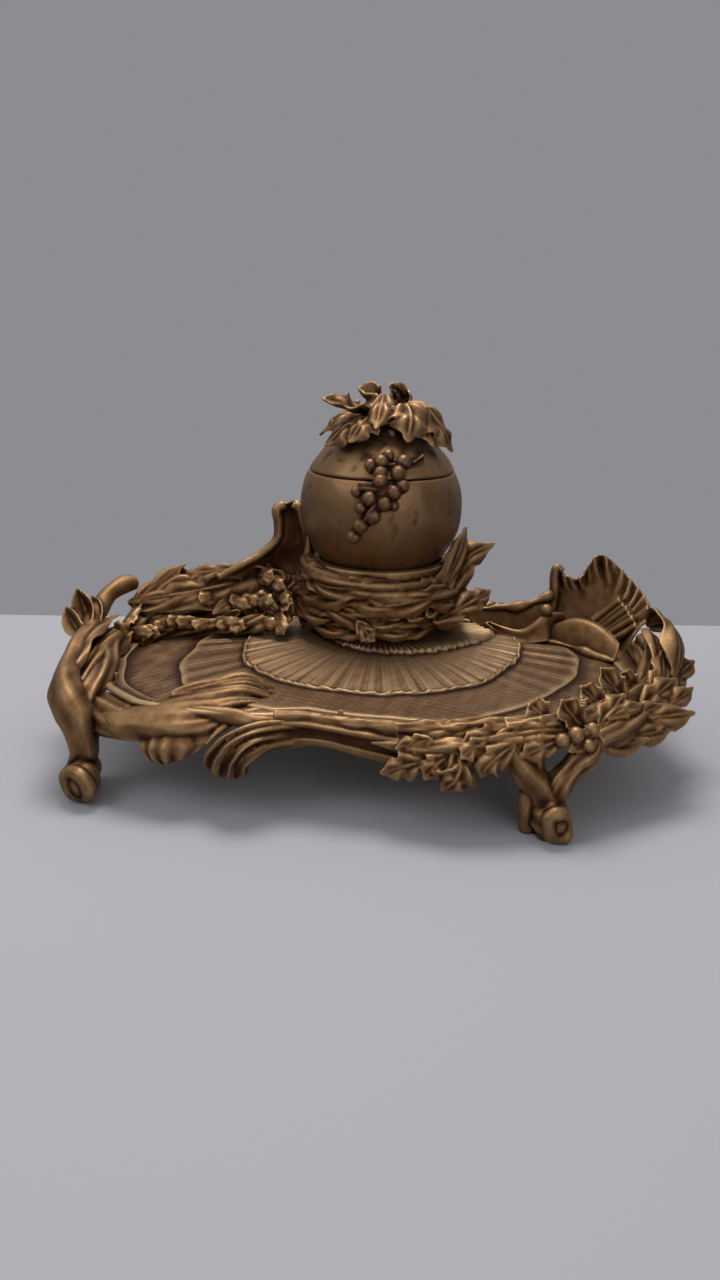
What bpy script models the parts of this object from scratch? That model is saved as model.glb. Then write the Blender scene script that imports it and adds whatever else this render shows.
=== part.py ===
"""Desk inkstand: a fluted shell tray on branch feet, with a round, lidded ink pot in a nest of leaves.

Metres, +Z up, the table at z = 0. X runs to the right and Y away from the writer. Places round the tray are
given as (angle, reach share, height share): degrees about the pot's axis, the share of the tray's reach at
that angle, and the share of the tray's height above the table.
"""
import math

import bmesh
import bpy
from mathutils import Matrix, Vector

# Driving sizes of the whole stand
SIDE_REACH = 0.130
FRONT_REACH = 0.130
POT_X = 0.0034
POT_Y = 0.047
TRAY_HEIGHT = 0.0370
SEAT_GAP = 0.0003
OVERRUN = 0.002
MERGE = 0.000002

# The tray
TRAY_WALL = 0.0026
HUB_RISE = 0.0044
HUB_REACH = 0.0240
RUFFLE_STEP = 0.0016
TIER_STEP = 0.0013
OUTER_STEP = 0.0009
GROOVE_DEPTH = 0.0010
EDGE_CURL = 0.0006
FLUTE_DEPTH = 0.0012
LIP_RISE = 0.0022
LIP_WIDTH = 0.0040
STEP_WIDTH = 0.0009

# The pot, its liner and its lid
POT_RADIUS = 0.0380
POT_CENTRE_HEIGHT = 0.1000
POT_WALL = 0.0026
SEAM_SHARE = 0.4316
SEAM_RISE = POT_RADIUS * SEAM_SHARE
SEAM_GAP = 0.0006
LEDGE_DROP = 0.0023
LEDGE_THICKNESS = 0.0024
SOCLE_RADIUS = 0.0200
SOCLE_NECK = 0.0150
SOCLE_FLANGE = 0.0030
LINER_FLANGE_SHARE = 0.632
LINER_FLANGE_RADIUS = POT_RADIUS * LINER_FLANGE_SHARE
LINER_FLANGE = 0.0018
LINER_SHARE = 0.5526
LINER_RADIUS = POT_RADIUS * LINER_SHARE
LINER_WALL = 0.0020
LINER_DEPTH_SHARE = 1.0526
LINER_DEPTH = POT_RADIUS * LINER_DEPTH_SHARE
LINER_FIT = 0.0007
LID_WALL = 0.0026

# The fixing under the pot
STUD_RADIUS = 0.0030
STUD_DEPTH = 0.0110
STUD_GRIP = 0.0060
WASHER_RADIUS = 0.0080
WASHER_THICKNESS = 0.0012
NUT_RADIUS = 0.0056
NUT_HEIGHT = 0.0048
BORE_FIT = 0.0004

# The hinge
BARREL_RADIUS = 0.0021
PIN_RADIUS = 0.0009
PIN_HEAD_RADIUS = 0.0016
PIN_HEAD = 0.0009
LEAF_PLATE = 0.0014
KNUCKLE_WIDTH = 0.0060
PLATE_HEIGHT = 0.0080

# The leaf finial and the grapes
FINIAL_STUD_RADIUS = 0.0022
FINIAL_STUD_LENGTH = 0.0060
FINIAL_BOSS_RADIUS = 0.0070
FINIAL_NUT_RADIUS = 0.0048
FINIAL_NUT_HEIGHT = 0.0030
VINE_LEAF_WIDTH = 0.0160
VINE_LEAF_THICKNESS = 0.0024
GRAPE_RADIUS = 0.0036
GRAPE_RISE = 0.0010
GRAPE_BED = 0.0012

# The rim castings
LEAF_WIDTH_SHARE = 0.3243
LEAF_WIDTH = TRAY_HEIGHT * LEAF_WIDTH_SHARE
LEAF_THICKNESS = 0.0024
BRANCH_SHARE = 0.1622
BRANCH_RADIUS = TRAY_HEIGHT * BRANCH_SHARE
RAIL_SHARE = 0.1243
RAIL_RADIUS = TRAY_HEIGHT * RAIL_SHARE
BAND_RADIUS = 0.0046
CREST_THICKNESS = 0.0032
SCROLL_SHARE = 0.3514
SCROLL_WIDTH = TRAY_HEIGHT * SCROLL_SHARE
SCROLL_THICKNESS = 0.0034
MOULDING_THICKNESS = 0.0048
NEST_WALL = 0.0050
NEST_FLOOR = 0.0080
NEST_RADIUS_SHARE = 0.8816
NEST_RADIUS = POT_RADIUS * NEST_RADIUS_SHARE
NEST_DROP_SHARE = 0.6579
NEST_TOP = POT_CENTRE_HEIGHT - POT_RADIUS * NEST_DROP_SHARE
FOOT_PAD_RADIUS = 0.0056

# The fixings of the castings
SCREW_RADIUS = 0.0011
SCREW_HEAD_RADIUS = 0.0024
SCREW_HEAD = 0.0014
SCREW_FIT = 0.0003
BOSS_RADIUS = 0.0036
BOSS_HEIGHT = 0.0062
SCREW_BITE = 0.0034
LUG_RADIUS = 0.0062
LUG_THICKNESS = 0.0030

# Counts
FRONT_FLUTES = 26
BACK_FACETS = 14
ROUND_FACETS = 24
SMALL_FACETS = 8
BRANCH_SIDES = 6
BALL_STEPS = 9
DOME_STEPS = 6
NEST_STEPS = 9

# Plan of the tray: (angle, share of the reach)
RIM_SHARES = [
    (-90, 0.94), (-75, 1.01), (-60, 1.08), (-45, 1.06), (-35, 1.06), (-20, 0.985), (-5, 0.91), (5, 0.77),
    (15, 0.55), (30, 0.40), (60, 0.34), (90, 0.33), (120, 0.34), (150, 0.40), (165, 0.60), (172, 0.78),
    (180, 0.89), (190, 0.95), (205, 1.03), (218, 1.10), (226, 1.10), (235, 1.05), (245, 0.985), (255, 0.915),
]
RUFFLE_SHARES = [
    (-90, 0.31), (-46, 0.355), (-10, 0.43), (12, 0.34), (30, 0.25), (90, 0.24), (150, 0.25), (190, 0.23),
    (220, 0.23), (240, 0.26),
]
TIER_SHARES = [
    (-90, 0.70), (-65, 0.68), (-40, 0.59), (-20, 0.54), (-5, 0.48), (10, 0.42), (30, 0.29), (90, 0.27),
    (150, 0.29), (170, 0.42), (185, 0.46), (195, 0.52), (208, 0.585), (225, 0.66), (247, 0.68),
]
OUTER_SHARES = [
    (-90, 0.92), (-76, 0.95), (-68, 0.90), (-41, 0.82), (-25, 0.76), (-10, 0.66), (10, 0.52), (30, 0.32),
    (90, 0.295), (150, 0.32), (170, 0.55), (187, 0.62), (200, 0.69), (216, 0.82), (226, 0.89), (253, 0.89),
]
MOULDING_SHARES = [
    (0.00, -0.30), (0.00, 0.40), (0.12, 0.52), (0.22, 0.16), (0.45, 0.42), (0.68, 0.36), (0.80, 0.78), (1.00, 0.66),
    (1.04, 0.10), (0.96, -0.45),
]
NEST_WINDINGS = [(1.10, 0.66, 0.6, 0.035), (1.13, 0.78, 3.4, 0.050), (1.08, 0.94, 5.2, 0.045)]
NEST_LEAF_SHARES = [
    ([(300, 1.257, 0.740), (322, 1.152, 0.868), (345, 1.270, 1.036), (356, 1.608, 1.105)], 1.35, 290, 60, -0.3, 2),
    ([(305, 1.250, 0.701), (332, 1.433, 0.789), (350, 1.592, 0.819)], 1.1, 300, 55, -0.3, 2),
    ([(255, 1.207, 0.720), (262, 1.294, 0.661), (267, 1.308, 0.612)], 0.8, 270, 60, -0.3, 2),
]
FIELD_SHARES = [
    (-90, 0.95), (-40, 0.95), (-31, 0.90), (-17, 0.86), (-8, 0.80), (5, 0.80), (15, 0.84), (90, 0.90),
    (165, 0.88), (184, 0.90), (226, 0.93),
]


def scene_cleared():
    for old in list(bpy.data.objects):
        bpy.data.objects.remove(old, do_unlink=True)


def around(table, angle):
    """Value of a closed (angle, value) table at an angle in degrees, eased between its rows."""
    turn = (angle - table[0][0]) % 360
    rows = [((a - table[0][0]) % 360, v) for a, v in table] + [(360, table[0][1])]
    for (a0, v0), (a1, v1) in zip(rows, rows[1:]):
        if a0 <= turn <= a1:
            part = (turn - a0) / (a1 - a0)
            eased = part * part * (3 - 2 * part)
            mixed = (part + eased) / 2
            return v0 + (v1 - v0) * mixed
    return rows[-1][1]


def plan(angle, reach, height):
    """Point at a reach share of 1 = the side and front reach, at a height in metres."""
    turn = math.radians(angle)
    return Vector((POT_X + math.cos(turn) * reach * SIDE_REACH,
                   POT_Y + math.sin(turn) * reach * FRONT_REACH, height))


def spot(place):
    """Point for (angle, share of the tray's reach there, share of the tray's height)."""
    angle, share, height = place
    return plan(angle, share * around(RIM_SHARES, angle), height * TRAY_HEIGHT)


def ball(azimuth, elevation, radius):
    """Point round the centre of the pot."""
    turn, lift = math.radians(azimuth), math.radians(elevation)
    return Vector((POT_X + math.cos(turn) * math.cos(lift) * radius,
                   POT_Y + math.sin(turn) * math.cos(lift) * radius,
                   POT_CENTRE_HEIGHT + math.sin(lift) * radius))


def heading(azimuth, lean):
    """Unit direction that leans from straight up towards an azimuth."""
    turn, tilt = math.radians(azimuth), math.radians(lean)
    return Vector((math.cos(turn) * math.sin(tilt), math.sin(turn) * math.sin(tilt), math.cos(tilt)))


def curve_through(points, steps):
    """Smooth line through hand-placed points, with a number of steps between each two."""
    ends = [points[0] * 2 - points[1]] + list(points) + [points[-1] * 2 - points[-2]]
    line = []
    for a, b, c, d in zip(ends, ends[1:], ends[2:], ends[3:]):
        for step in range(steps):
            t = step / steps
            line.append((b * 2 + (c - a) * t + (a * 2 - b * 5 + c * 4 - d) * t * t
                         + (b * 3 - a - c * 3 + d) * t * t * t) / 2)
    line.append(points[-1].copy())
    return line


def along(values, part):
    """Value at a part from 0 to 1 along a list of evenly spread values."""
    spread = part * (len(values) - 1)
    low = min(int(spread), len(values) - 2)
    return values[low] + (values[low + 1] - values[low]) * (spread - low)


def tangents(line):
    """Unit direction at each point of a line."""
    ahead = line[1:] + [line[-1] * 2 - line[-2]]
    behind = [line[0] * 2 - line[1]] + line[:-1]
    return [(a - b).normalized() for a, b in zip(ahead, behind)]


def loft(rings, closed_line=False):
    """Closed mesh through rings of points: end caps, or joined on itself along its line."""
    mesh = bmesh.new()
    rows = [[mesh.verts.new(point) for point in ring] for ring in rings]
    pairs = list(zip(rows, rows[1:]))
    if closed_line:
        pairs.append((rows[-1], rows[0]))
    for row, after in pairs:
        for i in range(len(row)):
            j = (i + 1) % len(row)
            mesh.faces.new((row[i], row[j], after[j], after[i]))
    if not closed_line:
        mesh.faces.new(list(reversed(rows[0])))
        mesh.faces.new(rows[-1])
    bmesh.ops.recalc_face_normals(mesh, faces=mesh.faces)
    return mesh


def turned(profile, facets, centre):
    """Body of revolution about a vertical axis, from (radius, height) points round its section."""
    mesh = bmesh.new()
    verts = [mesh.verts.new((radius, 0, height)) for radius, height in profile]
    edges = [mesh.edges.new((a, b)) for a, b in zip(verts, verts[1:])]
    if profile[0][0] > 0 or profile[-1][0] > 0:
        edges.append(mesh.edges.new((verts[-1], verts[0])))
    bmesh.ops.spin(mesh, geom=verts + edges, axis=(0, 0, 1), cent=(0, 0, 0), angle=math.tau,
                   steps=facets, use_merge=True)
    bmesh.ops.remove_doubles(mesh, verts=mesh.verts, dist=MERGE)
    bmesh.ops.translate(mesh, verts=mesh.verts, vec=centre)
    bmesh.ops.recalc_face_normals(mesh, faces=mesh.faces)
    return mesh


def rod(start, end, radius, facets):
    """Straight round bar between two points."""
    way = (end - start).normalized()
    side = way.orthogonal().normalized()
    other = way.cross(side)
    rings = []
    for point in (start, end):
        rings.append([point + (side * math.cos(a) + other * math.sin(a)) * radius
                      for a in (math.tau * i / facets for i in range(facets))])
    return loft(rings)


def branch(points, radii, steps=1, sides=BRANCH_SIDES, knots=0.0, flute=0.0):
    """Tapering round stem through points, its radius read from a list along its length."""
    line = curve_through(points, steps)
    ways = tangents(line)
    side = ways[0].orthogonal().normalized()
    rings = []
    for i, (point, way) in enumerate(zip(line, ways)):
        side = (side - way * side.dot(way)).normalized()
        other = way.cross(side)
        radius = along(radii, i / (len(line) - 1)) * (1 + knots * (-1) ** i)
        ring = []
        for k in range(sides):
            a = math.tau * k / sides
            swell = radius * (1 + flute * (-1) ** k)
            ring.append(point + (side * math.cos(a) + other * math.sin(a)) * swell)
        rings.append(ring)
    return loft(rings)


def leaf(points, width, face, lobes=3, cup=0.25, thickness=LEAF_THICKNESS, base_share=0.45, tip_share=0.08):
    """Lobed leaf along a line: cupped edges, a raised rib along the middle and a keel beneath."""
    stations = [0.0]
    for lobe in range(lobes):
        stations += [(lobe + 0.55) / (lobes + 0.2), (lobe + 0.95) / (lobes + 0.2)]
    stations[-1] = 1.0
    line = curve_through(points, 6)
    ways = tangents(line)
    last = len(line) - 1
    rings = []
    for number, part in enumerate(stations):
        point = along(line, part)
        way = ways[round(part * last)]
        side = way.cross(face).normalized()
        up = side.cross(way).normalized()
        bulge = base_share + (1 - base_share) * math.sin(math.pi * min(part * 1.15, 1)) ** 0.7
        low = thickness
        if part >= 1:
            bulge = tip_share
            low = thickness * 0.45
        notched = number % 2 == 0 and 0 < part < 1
        half = width / 2 * bulge * (0.66 if notched else 1.0)
        ahead = way * (half * (0.0 if notched or part in (0, 1) else 0.35))
        rings.append([
            point - side * half + up * (cup * half) + ahead,
            point + up * (low * 0.6),
            point + side * half + up * (cup * half) + ahead,
            point - up * (low * 0.75),
        ])
    return loft(rings)


def band(points, widths, thickness, across, steps=1, ridge=0.5):
    """Ribbon that keeps its width along one direction, with a raised ridge on its outer face."""
    line = curve_through(points, steps)
    ways = tangents(line)
    rings = []
    for i, (point, way) in enumerate(zip(line, ways)):
        side = (across - way * across.dot(way)).normalized()
        up = side.cross(way).normalized()
        half = along(widths, i / (len(line) - 1)) / 2
        thick = thickness / 2
        rings.append([
            point - side * half + up * (thick * 0.6),
            point + up * (thick * (1 + ridge)),
            point + side * half + up * (thick * 0.6),
            point + side * half - up * thick,
            point - side * half - up * thick,
        ])
    return loft(rings)


def wall(lower, upper, thickness, steps=2, ridges=0.0):
    """Upright sheet between a lower and an upper line, with ribs that run from one to the other."""
    low = curve_through(lower, steps)
    high = curve_through(upper, steps)
    rings = []
    for i, (foot, head) in enumerate(zip(low, high)):
        ahead = low[min(i + 1, len(low) - 1)] - low[max(i - 1, 0)]
        out = ahead.cross(head - foot).normalized()
        rib = out * (thickness * ridges * (-1) ** i)
        middle = foot.lerp(head, 0.55)
        rings.append([
            foot + out * (thickness / 2) + rib, middle + out * (thickness * 0.3) + rib,
            head + out * (thickness / 2) + rib, head - out * (thickness / 2) + rib,
            middle - out * (thickness * 0.7) + rib, foot - out * (thickness / 2) + rib,
        ])
    return loft(rings)


def plate(stations, thickness, along_steps=1, across_steps=1, lift=1.0):
    """Bent sheet through stations that each list the same number of points across it."""
    count = len(stations[0])
    lines = [curve_through([station[k] for station in stations], along_steps) for k in range(count)]
    front = [curve_through([line[i] for line in lines], across_steps) for i in range(len(lines[0]))]
    rings = []
    last, end = len(front) - 1, len(front[0]) - 1
    for i, row in enumerate(front):
        back = []
        for k, point in enumerate(row):
            run = front[min(i + 1, last)][k] - front[max(i - 1, 0)][k]
            cross = row[min(k + 1, end)] - row[max(k - 1, 0)]
            out = run.cross(cross).normalized() * lift
            back.append(point - out * thickness)
        rings.append(row + list(reversed(back)))
    return loft(rings)


def placed(mesh, name):
    """Object for a bmesh, linked into the scene."""
    data = bpy.data.meshes.new(name)
    mesh.to_mesh(data)
    mesh.free()
    item = bpy.data.objects.new(name, data)
    bpy.context.scene.collection.objects.link(item)
    return item


def evaluated_copy(item):
    """Mesh of an object with its modifiers applied."""
    bpy.context.view_layer.update()
    graph = bpy.context.evaluated_depsgraph_get()
    return bpy.data.meshes.new_from_object(item.evaluated_get(graph))


def carved(item, tool, operation, solver="EXACT"):
    """Union or difference of an object with one closed tool, which is used up."""
    cut = item.modifiers.new(operation.lower(), "BOOLEAN")
    cut.operation = operation
    cut.solver = solver
    cut.object = tool
    data = evaluated_copy(item)
    item.modifiers.clear()
    old = item.data
    item.data = data
    bpy.data.meshes.remove(old)
    bpy.data.objects.remove(tool, do_unlink=True)
    return item


def largest_body(item):
    """Keep only the biggest connected piece."""
    mesh = bmesh.new()
    mesh.from_mesh(item.data)
    seen, groups = set(), []
    for vert in mesh.verts:
        if vert in seen:
            continue
        stack, group = [vert], []
        seen.add(vert)
        while stack:
            here = stack.pop()
            group.append(here)
            for edge in here.link_edges:
                other = edge.other_vert(here)
                if other not in seen:
                    seen.add(other)
                    stack.append(other)
        groups.append(group)
    groups.sort(key=len, reverse=True)
    spare = [vert for group in groups[1:] for vert in group]
    bmesh.ops.delete(mesh, geom=spare, context="VERTS")
    if mesh.calc_volume(signed=True) < 0:
        bmesh.ops.reverse_faces(mesh, faces=mesh.faces)
    mesh.to_mesh(item.data)
    mesh.free()
    return item


def cast(name, solids, cutters=(), solver="MANIFOLD"):
    """One casting: its solids fused into one body, less its cutters."""
    item = placed(solids[0], name)
    for number, solid in enumerate(solids[1:]):
        carved(item, placed(solid, f"{name}_add_{number}"), "UNION", solver)
    for number, cutter in enumerate(cutters):
        carved(item, placed(cutter, f"{name}_cut_{number}"), "DIFFERENCE", solver)
    return largest_body(item)


def finished(item, colour, roughness, metallic, sharp=35):
    """Principled material and smooth shading with sharp creases."""
    look = bpy.data.materials.new(item.name)
    look.use_nodes = True
    surface = look.node_tree.nodes["Principled BSDF"]
    surface.inputs["Base Color"].default_value = (*colour, 1.0)
    surface.inputs["Roughness"].default_value = roughness
    surface.inputs["Metallic"].default_value = metallic
    item.data.materials.clear()
    item.data.materials.append(look)
    item.data.shade_smooth()
    item.data.set_sharp_from_angle(angle=math.radians(sharp))
    return item


def bronze(item):
    return finished(item, (0.33, 0.21, 0.10), 0.42, 0.9)


def dark_bronze(item):
    return finished(item, (0.19, 0.12, 0.07), 0.45, 0.85)


def brass(item):
    return finished(item, (0.50, 0.36, 0.16), 0.35, 1.0)


def tray_angles():
    """Angles round the tray: one step to each side of a flute in front, wider steps behind."""
    front = [180 + 180 * i / (2 * FRONT_FLUTES) for i in range(2 * FRONT_FLUTES)]
    back = [180 * i / BACK_FACETS for i in range(BACK_FACETS)]
    return front + back


def tray_stations(angle, flute, grow, plain):
    """Section of the tray at an angle, from the bore over the top to the rim and back underneath."""
    rim = around(RIM_SHARES, angle)
    step = STEP_WIDTH / SIDE_REACH
    lip = LIP_WIDTH / SIDE_REACH
    field = min(around(FIELD_SHARES, angle) * rim, rim - lip * 1.5)
    outer = min(around(OUTER_SHARES, angle), field - step * 2.5)
    tier = min(around(TIER_SHARES, angle), outer - step * 3)
    ruffle = min(around(RUFFLE_SHARES, angle), tier - step * 3)
    hub = min(HUB_REACH / SIDE_REACH, ruffle - step * 2)
    bore = (STUD_RADIUS + BORE_FIT) / SIDE_REACH
    wave = FLUTE_DEPTH / 2 * flute
    top = TRAY_HEIGHT + HUB_RISE
    under_ruffle = top - RUFFLE_STEP
    tier_edge = under_ruffle - EDGE_CURL
    under_tier = tier_edge - TIER_STEP
    outer_edge = under_tier + EDGE_CURL / 2
    under_outer = outer_edge - OUTER_STEP
    base = under_outer - TRAY_WALL
    spread = grow / SIDE_REACH
    if plain:
        upper = [
            (bore, top), (ruffle, top - EDGE_CURL + wave), (tier, tier_edge + wave), (outer, outer_edge + wave / 2),
            (rim - lip * 1.2, under_outer + LIP_RISE),
        ]
    else:
        upper = [
            (bore, top), (hub, top), (ruffle, top - EDGE_CURL + wave), (ruffle + step, under_ruffle - EDGE_CURL),
            ((ruffle + tier) / 2, under_ruffle - EDGE_CURL * 2 + wave),
            (tier, tier_edge + wave), (tier + step, under_tier),
            ((tier + outer) / 2, under_tier + wave), (outer, outer_edge + wave / 2),
            (outer + step, under_outer), (field, under_outer - GROOVE_DEPTH / 2),
            (field + step, under_outer + GROOVE_DEPTH / 2),
            (rim - lip, under_outer + LIP_RISE / 2), (rim - lip / 2, under_outer + LIP_RISE),
        ]
    lower = [
        (rim - lip / 2, base + GROOVE_DEPTH / 2), (tier, base), (hub, top - TRAY_WALL), (bore, top - TRAY_WALL),
    ]
    if plain:
        lower = [(rim + spread, base)] + lower[1:]
    rim_point = [(rim + spread, under_outer + LIP_RISE * (1.0 if plain else 0.25))]
    return ([(reach, height + grow) for reach, height in upper] + rim_point
            + [(reach, height - grow) for reach, height in lower])


def tray_surface(grow=0.0, plain=False):
    """The tray's solid, or a slightly larger plain one with which its neighbours are cut."""
    rings = []
    for number, angle in enumerate(tray_angles()):
        flute = 1 if plain else (-1) ** number
        rings.append([plan(angle, reach, height) for reach, height in tray_stations(angle, flute, grow, plain)])
    return loft(rings, closed_line=True)


def tray_cutter():
    return tray_surface(SEAT_GAP, plain=True)


def pot_cutter():
    """Ball a seat gap larger than the pot."""
    steps = 12
    radius = POT_RADIUS + SEAT_GAP * 2
    profile = [(radius * math.sin(math.pi * i / steps), POT_CENTRE_HEIGHT - radius * math.cos(math.pi * i / steps))
               for i in range(steps + 1)]
    profile[0] = (0, profile[0][1])
    profile[-1] = (0, profile[-1][1])
    return turned(profile, ROUND_FACETS, Vector((POT_X, POT_Y, 0)))


def sector_cutters(start, end):
    """Two half spaces that trim a casting to the sector between its parting planes."""
    span = (SIDE_REACH + FRONT_REACH) * 1.2
    cutters = []
    for angle, turn in ((start, -1), (end, 1)):
        out = (plan(angle, 1, 0) - plan(angle, 0, 0)).normalized()
        away = Vector((-out.y, out.x, 0)) * turn
        centre = plan(angle, 0, 0) - away * (SEAT_GAP / 2)
        corners = [centre - out * span * 0.02, centre + out * span, centre + out * span + away * span,
                   centre - out * span * 0.02 + away * span]
        low = [corner - Vector((0, 0, TRAY_HEIGHT)) for corner in corners]
        high = [corner + Vector((0, 0, TRAY_HEIGHT * 6)) for corner in corners]
        cutters.append(loft([low, high]))
    return cutters


def table_cutter():
    """Everything below the table, so that a foot stands flat."""
    wide = SIDE_REACH + FRONT_REACH
    return turned([(0, -TRAY_HEIGHT), (wide, -TRAY_HEIGHT), (wide, 0), (0, 0)], SMALL_FACETS, Vector((0, 0, 0)))


def boss(angle, share):
    """Threaded boss on the tray that takes a casting's screw."""
    foot = spot((angle, share, 1))
    foot.z = TRAY_HEIGHT
    return rod(foot, foot + Vector((0, 0, BOSS_HEIGHT)), BOSS_RADIUS, SMALL_FACETS)


def screw_bore(angle, share):
    """Clearance for a screw that comes up through the tray."""
    foot = spot((angle, share, 0))
    return rod(foot + Vector((0, 0, TRAY_HEIGHT / 2)), foot + Vector((0, 0, TRAY_HEIGHT + SCREW_BITE + SCREW_FIT)),
               SCREW_RADIUS + SCREW_FIT, SMALL_FACETS)


def head_room(angle, share):
    """Clearance under the tray for a screw's head and the driver that turns it."""
    foot = spot((angle, share, 0))
    top = Vector((foot.x, foot.y, TRAY_HEIGHT - TRAY_WALL / 2))
    return rod(top - Vector((0, 0, TRAY_HEIGHT)), top, SCREW_HEAD_RADIUS + SCREW_FIT, SMALL_FACETS)


def fixed(name, solids, sector, screw_at, extra_cutters=()):
    """Rim casting trimmed to its sector, seated on the tray and bored for its screw."""
    solids = list(solids) + [boss(*screw_at)]
    cutters = [tray_cutter()] + list(extra_cutters) + sector_cutters(*sector)
    cutters += [screw_bore(*screw_at), head_room(*screw_at)]
    return bronze(cast(name, solids, cutters))


def leaves(rows):
    """Leaves from rows of (places, width share, azimuth, lean, cup, lobes)."""
    return [leaf([spot(place) for place in places], share * LEAF_WIDTH, heading(azimuth, lean), lobes, cup)
            for places, share, azimuth, lean, cup, lobes in rows]


def shell_tray():
    tray = placed(tray_surface(), "shell_tray")
    for name, place in SCREW_PLACES.items():
        foot = spot((*place, 0))
        foot.z = TRAY_HEIGHT / 2
        deep = TRAY_HEIGHT / 2 if name.endswith("foot") else TRAY_HEIGHT
        tool = rod(foot, foot + Vector((0, 0, deep)), SCREW_RADIUS + SCREW_FIT, SMALL_FACETS)
        carved(tray, placed(tool, f"tray_bore_{name}"), "DIFFERENCE")
    return bronze(largest_body(tray))


def left_branch_leg():
    leg = branch([spot(p) for p in [
        (224, 1.10, -0.05), (224.5, 1.10, 0.16), (225, 1.095, 0.36), (225.5, 1.09, 0.56), (225.5, 1.10, 0.84),
        (223, 1.10, 1.10), (218, 1.09, 1.26), (211, 1.08, 1.32), (204, 1.06, 1.34), (198, 1.05, 1.36)]],
        [radius_share * BRANCH_RADIUS for radius_share in
         (0.95, 1.35, 1.30, 0.86, 0.95, 1.20, 1.35, 1.05, 0.85, 0.5)], 1, BRANCH_SIDES + 2)
    inner = branch([spot(p) for p in [
        (225, 1.04, 0.86), (222, 1.0, 1.06), (214, 0.98, 1.10), (205, 0.97, 1.12), (197, 0.97, 1.16)]],
        [radius_share * BRANCH_RADIUS for radius_share in (0.9, 0.9, 0.7, 0.65, 0.5)])
    sprays = leaves([
        ([(201, 1.05, 1.34), (197, 1.10, 1.42), (194.5, 1.145, 1.62)], 0.80, 250, 65, 0.5, 1),
        ([(201, 1.04, 1.34), (197.5, 1.05, 1.55), (196, 1.05, 1.80)], 0.85, 270, 70, 0.5, 1),
        ([(203, 1.02, 1.26), (197.5, 0.99, 1.44), (191.5, 0.95, 1.76)], 0.75, 260, 60, 0.3, 2),
        ([(219, 1.06, 1.30), (210, 1.02, 1.46), (201, 1.01, 1.46)], 1.05, 260, 45, -0.3, 2),
        ([(217, 1.01, 1.16), (208, 0.96, 1.26), (199, 0.95, 1.22)], 0.95, 270, 40, -0.3, 1),
        ([(224, 1.12, 1.06), (216, 1.125, 1.20), (205, 1.10, 1.36)], 0.95, 240, 60, -0.2, 1),
    ])
    rosette = turned([(0, SCROLL_THICKNESS * 0.4), (LEAF_WIDTH * 0.28, SCROLL_THICKNESS * 0.3),
                      (LEAF_WIDTH * 0.42, 0), (LEAF_WIDTH * 0.42, -SCROLL_THICKNESS * 2.2), (0, -SCROLL_THICKNESS * 2.2)],
                     SMALL_FACETS, Vector((0, 0, 0)))
    face = spot((225.5, 1.128, 0.28))
    aim = heading(250, 70).to_track_quat("Z", "Y").to_matrix().to_4x4()
    bmesh.ops.transform(rosette, matrix=Matrix.Translation(face) @ aim, verts=rosette.verts)
    return fixed("left_branch_leg", [leg, inner, rosette] + sprays, (196, 228), SCREW_PLACES["left_branch_leg"],
                 [table_cutter()])


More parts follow.
